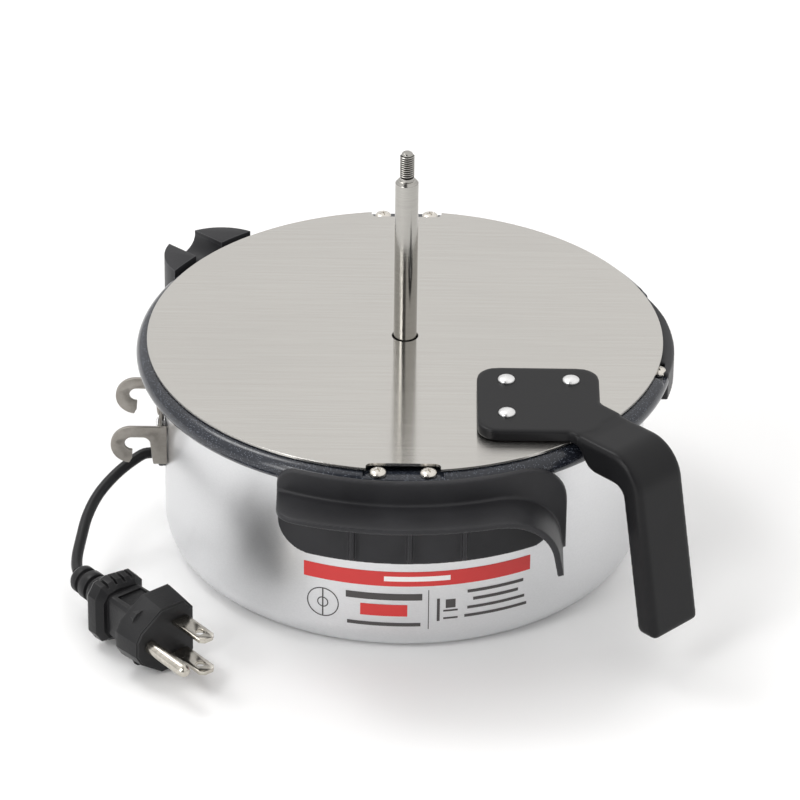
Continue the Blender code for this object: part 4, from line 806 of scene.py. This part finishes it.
shaft_level = node(tree, "VectorMath", (0, shaft_place.outputs["Object"]), (1, (1.0, 1.0, 0.0)),
                   operation="MULTIPLY")
shaft_reach = node(tree, "VectorMath", (0, shaft_level.outputs["Vector"]), operation="LENGTH")
# Painted shade: within 2.15 to 2.45 mm of the axis and below the tip, the thread's roots and flanks are
# coloured near black.
thread_root_shade = math_node(tree, "MULTIPLY",
                        span(tree, shaft_reach.outputs["Value"], 2.15 * MM, 2.45 * MM, 1.0, 0.0),
                        math_node(tree, "LESS_THAN", shaft_split.outputs["Z"], (TIP - 0.8) * MM))
feed(tree, shader, Base_Color=blend_colours(tree, thread_root_shade, bare_steel, (0.03, 0.028, 0.026)),
     Roughness=span(tree, turning, 0.3, 0.7, 0.13, 0.18), Normal=bump(tree, turning, 0.0000003))
finished(shaft, ground_steel, "stirrer", "ground_shaft", "stir_shaft", width=0.12 * MM, angle=30.0, steps=2)
finished(thread, ground_steel, "stirrer", "ground_shaft", angle=30.0)

# ---- lid handle ------------------------------------------------------------------------------------
# One phenolic moulding: a plate riveted on the lid, an arm that steps over the rim, and a flat grip that
# hangs outside the casing. All its edges are well rounded and its surface is finely grained.
UPRIGHT = Matrix(((1, 0, 0, 0), (0, 0, -1, 0), (0, 1, 0, 0), (0, 0, 0, 1)))      # outline (x, z)
HANDLE_UNDER = LID_TOP / MM + 0.3
HANDLE_TOP = HANDLE_UNDER + 4.1
ARM = Matrix.Rotation(radians(-45.0), 4, "Z")
ARM_HALF = 10.75
LEAN = 10.5
BEAD_OUT = BEAD_R + BEAD_TUBE
GRIP_LOW = 17.5


def one_skin(piece, grain, passes):
    """Turns joined shapes into one even skin and melts its seams and edges round, as a mould leaves them."""
    applied(piece, "REMESH", mode="VOXEL", voxel_size=grain)
    return applied(piece, "SMOOTH", factor=0.5, iterations=passes)


plate = rounded_rectangle(24.5, -70.5, 66.0, -28.0, (7.0,) * 4)
handle = slab("handle", plate, (HANDLE_UNDER, HANDLE_TOP))
root = [(64.0, -ARM_HALF - 9.0), (70.0, -ARM_HALF - 4.6), (76.0, -ARM_HALF - 1.6), (82.0, -ARM_HALF),
        (92.0, -ARM_HALF), (92.0, ARM_HALF), (84.0, ARM_HALF)]
root += [(80.0, ARM_HALF + 1.0), (76.0, ARM_HALF + 3.4), (72.6, ARM_HALF + 6.6), (70.0, ARM_HALF + 10.0),
         (56.0, ARM_HALF)]
shaped(handle, "UNION", slab("arm_root", root, (HANDLE_UNDER, HANDLE_TOP), ARM))
OUTER_BEND, INNER_BEND, GRIP_THICK = 14.0, 4.5, 8.6
side = [(88.0, HANDLE_TOP), (97.0, HANDLE_TOP - 0.25)]
side += arc((107.6, HANDLE_TOP - OUTER_BEND), OUTER_BEND, 90.0, LEAN, 14)
slope = tan(radians(LEAN))
foot_x = side[-1][0] + (side[-1][1] - GRIP_LOW) * slope
side += [(foot_x, GRIP_LOW), (foot_x - GRIP_THICK / cos(radians(LEAN)), GRIP_LOW)]
under_z = LID_TOP / MM - 7.3
bend_z = under_z - INNER_BEND
bend_x = side[-1][0] - (bend_z - GRIP_LOW) * slope - INNER_BEND
side += arc((bend_x, bend_z), INNER_BEND, LEAN - 4.0, 90.0, 8)
side += [(BEAD_OUT + 7.0, under_z), (BEAD_OUT + 4.4, under_z + 0.9), (BEAD_OUT + 2.2, under_z + 3.2),
         (BEAD_OUT + 0.6, under_z + 5.9), (BEAD_OUT - 1.5, HANDLE_UNDER), (78.0, HANDLE_UNDER),
         (78.0, HANDLE_TOP)]
grip = slab("grip", side, (-ARM_HALF, ARM_HALF), ARM @ UPRIGHT)
applied(grip, "BEVEL", width=1.9 * MM, segments=4, limit_method="ANGLE", angle_limit=radians(50.0))
shaped(handle, "UNION", grip)
one_skin(handle, 0.5 * MM, 14)
# The third colour is a painted highlight on the handle's edges and creases.
matt_phenolic = moulded_plastic("matt_phenolic", (0.008, 0.008, 0.009), (0.011, 0.011, 0.012),
                                (0.018, 0.018, 0.019), 0.32, 0.42, 1500.0, 0.00002, 0.0004)
finished(handle, matt_phenolic, "lid", "black_phenolic", "lid_handle", angle=70.0)

# ---- lid rivets ------------------------------------------------------------------------------------
# Three aluminium rivets with low domed heads, tumbled to a soft shine.
tumbled_aluminium, tree, shader = plain_material("tumbled_aluminium", (0.80, 0.80, 0.80), 0.3, 1.0)
feed(tree, shader, Roughness=span(tree, noise(tree, 700.0, 4.0), 0.3, 0.7, 0.24, 0.42),
     Base_Color=two_tone(tree, noise(tree, 400.0, 3.0), 0.3, 0.7, (0.70, 0.70, 0.70), (0.84, 0.84, 0.84)),
     Normal=bump(tree, noise(tree, 900.0, 3.0), 0.00001))
RIVET_R, RIVET_STEM = 2.95, 1.5
under = HANDLE_TOP + 0.05
dome = [(RIVET_R * x, under + 0.25 + 1.25 * z) for x, z in arc((0.0, 0.0), 1.0, 90.0, 0.0, 9)]
rivet_profile = dome + [(RIVET_R, under), (RIVET_STEM, under), (RIVET_STEM, lid_under),
                        (2.2, lid_under - 0.1), (2.3, lid_under - 0.4), (2.0, lid_under - 1.0),
                        (0.0, lid_under - 1.05)]
for i, (x, y) in enumerate(((34.5, -37.0), (56.4, -37.0), (34.5, -58.9))):
    place = Matrix.Translation((x * MM, y * MM, 0.0))
    rivet = turned(f"handle_rivet_{i + 1}", rivet_profile, 40, place=place)
    finished(rivet, tumbled_aluminium, "lid", "rivet_aluminium", f"lid_rivet_{i + 1}", angle=40.0)

# ---- front holder ----------------------------------------------------------------------------------
# Phenolic moulding screwed under the front of the rim: a wall round the rim, a shelf with a lipped edge
# that curls down at its right end, and a ribbed foot against the casing.
HOLDER_IN = BEAD_OUT + 0.3
HOLDER_OUT = HOLDER_IN + 2.0
FOOT_IN = CASING_R + 0.3
FOOT_OUT = FOOT_IN + 2.0
HOLDER_TOP = LID_TOP / MM - 1.5
HOLDER_LOW = LID_TOP / MM - 39.4
WEB_TOP = BEAD_Z - BEAD_TUBE - 0.3
WEB_LOW = WEB_TOP - 3.0
SHELF_TOP = WEB_TOP - 0.9
CURL_R, CURL_END, SHELF_T = 22.0, 12.0, 2.1
CURL_LOW = SHELF_TOP - 26.0
LEFT_END, RIGHT_END = -42.0, 54.0
FORE = (45.0, 140.0)
centre = (31.0, SHELF_TOP - CURL_R)
wall_section = [(HOLDER_OUT, HOLDER_TOP), (HOLDER_OUT, CURL_LOW), (HOLDER_IN, CURL_LOW),
                (HOLDER_IN, HOLDER_TOP)]
holder = turned("front_shelf_holder", wall_section, 240, closed=True)
wall_face = [(LEFT_END, WEB_LOW)] + arc(centre, CURL_R - SHELF_T, 90.0, CURL_END, 28)
wall_face += [(RIGHT_END - SHELF_T, CURL_LOW), (RIGHT_END + 0.9, CURL_LOW)]
wall_face += arc((RIGHT_END - 16.1, HOLDER_TOP - 17.0), 17.0, 0.0, 90.0, 16)
wall_face += arc((LEFT_END + 7.0, HOLDER_TOP - 7.0), 7.0, 90.0, 180.0, 8)
shaped(holder, "INTERSECT", slab("wall_face", wall_face, FORE, UPRIGHT))
foot_section = [(HOLDER_OUT, WEB_TOP), (HOLDER_OUT, WEB_LOW), (FOOT_OUT, WEB_LOW), (FOOT_OUT, HOLDER_LOW),
                (FOOT_IN, HOLDER_LOW), (FOOT_IN, WEB_TOP)]
holder_foot = turned("holder_foot", foot_section, 240, closed=True)
face = rounded_rectangle(LEFT_END, HOLDER_LOW, 50.0, HOLDER_TOP, (11.0, 6.0, 3.0, 7.0), 10)
shaped(holder_foot, "INTERSECT", slab("foot_face", face, FORE, UPRIGHT))
shelf_side = [(LEFT_END, SHELF_TOP)] + arc(centre, CURL_R, 90.0, CURL_END, 28)
shelf_side += [(RIGHT_END, CURL_LOW), (RIGHT_END - SHELF_T, CURL_LOW)]
shelf_side += arc(centre, CURL_R - SHELF_T, CURL_END, 90.0, 28) + [(LEFT_END, SHELF_TOP - SHELF_T)]
shelf = slab("shelf", shelf_side, (62.0, 140.0), UPRIGHT)
shaped(shelf, "INTERSECT", bar("shelf_edge", 108.0, (0.0, -2.0, 0.0), (0.0, -2.0, 77.0), 240))
shaped(shelf, "DIFFERENCE", bar("shelf_back", FOOT_IN + 1.0, (0.0, 0.0, -1.0), (0.0, 0.0, 90.0), 240))
corner = [(LEFT_END, -60.0)] + arc((LEFT_END + 8.0, -96.0), 8.0, 180.0, 250.0, 10)
corner += [(-36.7, -120.0), (70.0, -120.0), (70.0, -60.0)]
shaped(shelf, "INTERSECT", slab("shelf_corner", corner, (30.0, 80.0)))
shaped(holder, "UNION", holder_foot, shelf)


def ribbed(piece, places, side, reach):
    """Upright ribs outside a foot, at the front (-1) or the back (1), standing out by the reach."""
    for x in places:
        y = side * sqrt(FOOT_OUT ** 2 - x ** 2)
        low_y, high_y = sorted((y - side, y + side * reach))
        rib = block("rib", (x - 0.8, low_y, HOLDER_LOW + 1.5), (x + 0.8, high_y, WEB_TOP - 1.0))
        shaped(piece, "UNION", rib)


ribbed(holder, (-17.0, 2.5, 21.0), -1.0, 2.2)
one_skin(holder, 0.45 * MM, 4)
# The third colour is a painted highlight on the edges and creases of the holders and lugs.
holder_phenolic = moulded_plastic("holder_phenolic", (0.022, 0.022, 0.024), (0.032, 0.032, 0.035),
                                  (0.075, 0.075, 0.08), 0.34, 0.46, 1300.0, 0.00003, 0.0006)
finished(holder, holder_phenolic, "kettle", "black_phenolic", "front_holder", angle=70.0)

# ---- rear holder -----------------------------------------------------------------------------------
# The plainer moulding under the back of the rim: the same web and foot with no wall or shelf.
rear_holder = turned("rear_rim_holder", foot_section, 240, closed=True)
face = rounded_rectangle(-34.0, HOLDER_LOW, 34.0, 77.0, (10.0, 10.0, 3.0, 3.0), 10)
shaped(rear_holder, "INTERSECT", slab("rear_face", face, (-140.0, -45.0), UPRIGHT))
ribbed(rear_holder, (-21.0, 0.0, 21.0), 1.0, 2.0)
finished(rear_holder, holder_phenolic, "kettle", "black_phenolic", "rear_holder", width=0.45 * MM)

# ---- side lug --------------------------------------------------------------------------------------
# Smooth phenolic shell let into the cut-back right side of the rim, flush with its outside, with a thin
# lip on the pressed tab under one screw and a short foot against the casing.
LIP_TOP = LUG_TAB_Z + 1.5
shell_in, shell_out = 90.2, BEAD_OUT + 0.3
SHELL_LOW = 56.0
shell_section = [(shell_out - 1.0, LIP_TOP), (shell_out, LIP_TOP - 1.0), (shell_out, WEB_LOW),
                 (FOOT_OUT, WEB_LOW), (FOOT_OUT, SHELL_LOW), (FOOT_IN, SHELL_LOW), (FOOT_IN, WEB_TOP),
                 (shell_in, WEB_TOP), (shell_in, LIP_TOP)]
side_lug = turned("side_shell", shell_section, 240, closed=True)
face = rounded_rectangle(-20.1, SHELL_LOW, 36.3, LIP_TOP + 3.0, (7.0, 7.0, 3.0, 3.0), 10)
shaped(side_lug, "INTERSECT", slab("lug_face", face, (60.0, 110.0), ACROSS))
LIP_LOW, LIP_IN, LIP_OUT = LUG_TAB_Z + 0.3, 86.0, shell_out - 0.8
lip = turned("lug_lip", [(LIP_OUT, LIP_TOP), (LIP_OUT, LIP_LOW), (LIP_IN, LIP_LOW), (LIP_IN, LIP_TOP)], 240,
             closed=True)
sector = [(0.0, 0.0)] + arc((0.0, 0.0), 140.0, -8.5, 22.9, 16)
shaped(lip, "INTERSECT", slab("lip_sector", sector, (40.0, 90.0)))
shaped(side_lug, "UNION", lip)
shaped(side_lug, "INTERSECT", bar("lug_outside", 70.2, (22.8, -0.8, 0.0), (22.8, -0.8, 100.0), 240))
one_skin(side_lug, 0.4 * MM, 4)
finished(side_lug, holder_phenolic, "kettle", "black_phenolic", "side_lug", angle=70.0)

# ---- rear lug --------------------------------------------------------------------------------------
# Solid phenolic block at the back left with a half-round groove moulded across its top, which sits on the
# machine's bar.
LUG_TURN = Matrix.Rotation(radians(139.0), 4, "Z")
LUG_TOP, LUG_DEEP, GROOVE_R, GROOVE_FLOOR = LID_TOP / MM - 1.0, 22.0, 6.6, 8.0
LUG_HALF = 20.0
lug_outline = rounded_rectangle(FOOT_IN - 8.0, -LUG_HALF, BEAD_OUT + 14.3, LUG_HALF, (1.0, 19.9, 19.9, 1.0),
                                16)
rear_lug = slab("grooved_lug", lug_outline, (LUG_TOP - LUG_DEEP, LUG_TOP), LUG_TURN)
seat = [(HOLDER_IN, 90.0), (HOLDER_IN, WEB_TOP), (FOOT_IN, WEB_TOP), (FOOT_IN, 20.0), (0.0, 20.0),
        (0.0, 90.0)]
shaped(rear_lug, "DIFFERENCE", turned("lug_seat", seat, 240, closed=True))
groove_z = LUG_TOP - GROOVE_FLOOR + GROOVE_R
groove = bar("groove", GROOVE_R, (60.0, 0.0, groove_z), (125.0, 0.0, groove_z), 64, LUG_TURN)
mouth = block("groove_mouth", (60.0, -GROOVE_R, groove_z), (125.0, GROOVE_R, LUG_TOP + 5.0), LUG_TURN)
shaped(rear_lug, "DIFFERENCE", groove, mouth)
finished(rear_lug, holder_phenolic, "kettle", "black_phenolic", "rear_lug", width=0.6 * MM)

# ---- hook bracket ----------------------------------------------------------------------------------
# Stainless plate blanked and bent into two flat hooks, tumbled matt, and riveted to the casing.
HOOK_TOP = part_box("hook_bracket")[1].z / MM
HOOK_Y, HOOK_T, HOOK_ARM = 16.5, 1.5, 4.0
EYE_X, EYE_R, SLOT_R = -94.2, 7.1, 2.6
slot_x, slot_z = EYE_X + 0.3, HOOK_TOP - HOOK_ARM - SLOT_R
foot = HOOK_TOP - 14.6
hook_in = CASING_R - 1.45
hook_line = [(-hook_in, HOOK_TOP)] + arc((EYE_X, HOOK_TOP - EYE_R), EYE_R, 90.0, 264.0, 32)
hook_line += [(slot_x - 0.5, foot + 1.6), (slot_x - 0.1, foot + 2.2), (slot_x + 0.1, slot_z - SLOT_R)]
hook_line += arc((slot_x, slot_z), SLOT_R, 250.0, 90.0, 16)
hook_line += arc((-FOOT_IN - 4.0 - 2.6, HOOK_TOP - HOOK_ARM - 2.6), 2.6, 90.0, 0.0, 8)
hook_line += [(-FOOT_IN - 3.2, foot + 1.0), (-FOOT_IN - 3.0, foot), (-hook_in, foot)]
bracket = block("hook_plate", (-FOOT_IN - 1.2, -HOOK_Y, HOOK_TOP - 7.2), (-FOOT_IN, HOOK_Y, HOOK_TOP))
for y in (-HOOK_Y, HOOK_Y):
    hook = slab("hook", hook_line, (-y - HOOK_T / 2.0, -y + HOOK_T / 2.0), UPRIGHT)
    shaped(bracket, "UNION", hook)
tumbled_steel = streaked_metal("tumbled_steel", (0.29, 0.27, 0.245), (0.38, 0.36, 0.33), 0.38, 0.52,
                               420.0, 380.0, 0.000008)[0]
finished(bracket, tumbled_steel, "kettle", "hook_steel", "hook_bracket", width=0.2 * MM, angle=40.0, steps=2)
out = FOOT_IN + 1.5
HEAD_R, STEM_R = 2.6, 1.5
dome = [(HEAD_R * x, out + 0.2 + 0.8 * z) for x, z in arc((0.0, 0.0), 1.0, 90.0, 0.0, 6)]
stem = dome + [(HEAD_R, out), (STEM_R, out), (STEM_R, out - 3.2), (2.2, out - 3.4), (2.2, out - 4.2),
               (0.0, out - 4.3)]
for i, y in enumerate((-9.0, 9.0)):
    place = Matrix.Translation((0.0, y * MM, (HOOK_TOP - 3.6) * MM)) @ Matrix.Rotation(-pi / 2.0, 4, "Y")
    rivet = turned(f"bracket_rivet_{i + 1}", stem, 32, place=place)
    finished(rivet, tumbled_aluminium, "kettle", "rivet_aluminium", f"hook_rivet_{i + 1}", angle=40.0)

# ---- rim screws ------------------------------------------------------------------------------------
# Five nickel-plated pan-head screws with cross recesses, modelled once and copied to their places.
head = arc((0.0, 0.0), 1.0, 90.0, 0.0, 8)
CAP_R, CAP_LOW, RECESS_HALF_W, RECESS_HALF_T = 2.85, 0.3, 1.75, 0.32
screw_profile = [(CAP_R * x, CAP_LOW + 1.9 * (0.35 + 0.65 * z)) for x, z in head]
screw_profile += [(CAP_R, CAP_LOW), (1.5, CAP_LOW), (1.5, -8.4), (0.0, -9.0)]
master = turned("rim_screw", screw_profile, 40)
cross = [(-RECESS_HALF_W, -RECESS_HALF_T), (RECESS_HALF_W, -RECESS_HALF_T), (RECESS_HALF_W, RECESS_HALF_T),
         (-RECESS_HALF_W, RECESS_HALF_T)]
for turn in (0.4, 0.4 + pi / 2.0):
    recess = slab("recess", cross, (2.6, 1.1), Matrix.Rotation(turn, 4, "Z"), (1.0, 0.62))
    shaped(master, "DIFFERENCE", recess)
SCREW_X, SCREW_RING, SIDE_SCREW = 8.4, 88.6, radians(-11.6)
screw_y = sqrt(SCREW_RING ** 2 - SCREW_X ** 2)
screw_places = [("front_left", -SCREW_X, -screw_y, TAB_Z), ("front_right", SCREW_X, -screw_y, TAB_Z),
                ("back_left", -SCREW_X, screw_y, TAB_Z), ("back_right", SCREW_X, screw_y, TAB_Z),
                ("side_lug", BEAD_R * cos(SIDE_SCREW), BEAD_R * sin(SIDE_SCREW), LUG_TAB_Z)]
screw_nickel, tree, shader = plain_material("screw_nickel", (0.74, 0.71, 0.66), 0.24, 1.0)
# Painted highlight: the heads' edges and the rims of the cross recess are coloured lighter than the rest of
# the head.
screw_edge_highlight = use_group(tree, painted_edge_highlight, Edge_width=0.0004)
feed(tree, shader, Roughness=span(tree, noise(tree, 800.0, 3.0), 0.3, 0.7, 0.18, 0.34),
     Base_Color=blend_colours(tree, screw_edge_highlight.outputs["Mask"], (0.66, 0.63, 0.58), (0.80, 0.78, 0.74)))
for label, x, y, z in screw_places:
    copy = master.copy()
    copy.data = master.data.copy()
    copy.name = f"cross_screw_{label}"
    bpy.context.scene.collection.objects.link(copy)
    alone(copy)
    copy.location = (x * MM, y * MM, z * MM)
    bpy.ops.object.transform_apply(location=True, rotation=True, scale=True)
    finished(copy, screw_nickel, "kettle", "bright_screw", f"rim_screw_{label}", width=0.1 * MM, angle=40.0,
             steps=2)
bpy.data.objects.remove(master)

# ---- stirrer blade ---------------------------------------------------------------------------------
# Stamped stainless blade with a turned hub, cross-pinned to the shaft; it sweeps the pan's floor.
stir_steel = streaked_metal("stir_steel", (0.52, 0.51, 0.49), (0.64, 0.63, 0.61), 0.28, 0.42, 900.0, 40.0,
                            0.000004)[0]


def refinished(material, *names):
    """Gives inner pieces that keep their CAD shape a finish of their own."""
    for name in names:
        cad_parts[name].data.materials.clear()
        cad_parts[name].data.materials.append(material)


refinished(stir_steel, "stir_blade", "stir_pin")

# ---- heater and controls ---------------------------------------------------------------------------
# Between pan and casing: cast spreader and clamp, tubular element, thermostat and fuse, terminal block,
# brass bush and nut. They keep their CAD shapes and take a finish each.


def worked_finish(name, dark, light, low, high, metallic, scale, depth):
    """Two close colours in grains, with gloss from low to high and a fine relief."""
    material, tree, shader = plain_material(name, light, low, metallic)
    grains = noise(tree, scale, 4.0)
    feed(tree, shader, Base_Color=two_tone(tree, grains, 0.35, 0.65, dark, light),
         Roughness=span(tree, grains, 0.3, 0.7, low, high), Normal=bump(tree, grains, depth))
    return material


cast_aluminium = worked_finish("cast_aluminium", (0.42, 0.42, 0.42), (0.58, 0.58, 0.58), 0.5, 0.65, 1.0,
                               700.0, 0.0001)
oxidised_sheath = worked_finish("oxidised_sheath", (0.20, 0.17, 0.15), (0.36, 0.33, 0.31), 0.4, 0.55, 1.0,
                                260.0, 0.00002)
woven_glass = worked_finish("woven_glass", (0.62, 0.60, 0.53), (0.82, 0.80, 0.72), 0.85, 0.95, 0.0, 900.0,
                            0.0002)
steatite = worked_finish("steatite", (0.72, 0.70, 0.65), (0.86, 0.84, 0.79), 0.5, 0.65, 0.0, 500.0, 0.00004)
turned_brass = worked_finish("turned_brass", (0.50, 0.36, 0.16), (0.66, 0.50, 0.26), 0.28, 0.4, 1.0, 400.0,
                             0.00001)
varnished_sleeve = worked_finish("varnished_sleeve", (0.42, 0.39, 0.33), (0.58, 0.55, 0.48), 0.6, 0.75, 0.0,
                                 800.0, 0.0001)
refinished(cast_aluminium, "heat_spreader", "element_clamp")
refinished(oxidised_sheath, "heating_element")
refinished(woven_glass, "insulation_pad")
refinished(steatite, "thermostat", "terminal_block")
refinished(turned_brass, "pan_bush", "bush_nut")
refinished(varnished_sleeve, "thermal_fuse")
refinished(screw_nickel, "terminal_screw_1", "terminal_screw_2", "terminal_screw_3")
refinished(bright_nickel, "element_pin_live", "element_pin_neutral", "thermostat_tab_1", "thermostat_tab_2")

# ---- end -------------------------------------------------------------------------------------------
# Leaves object mode with nothing selected.
start_clean()
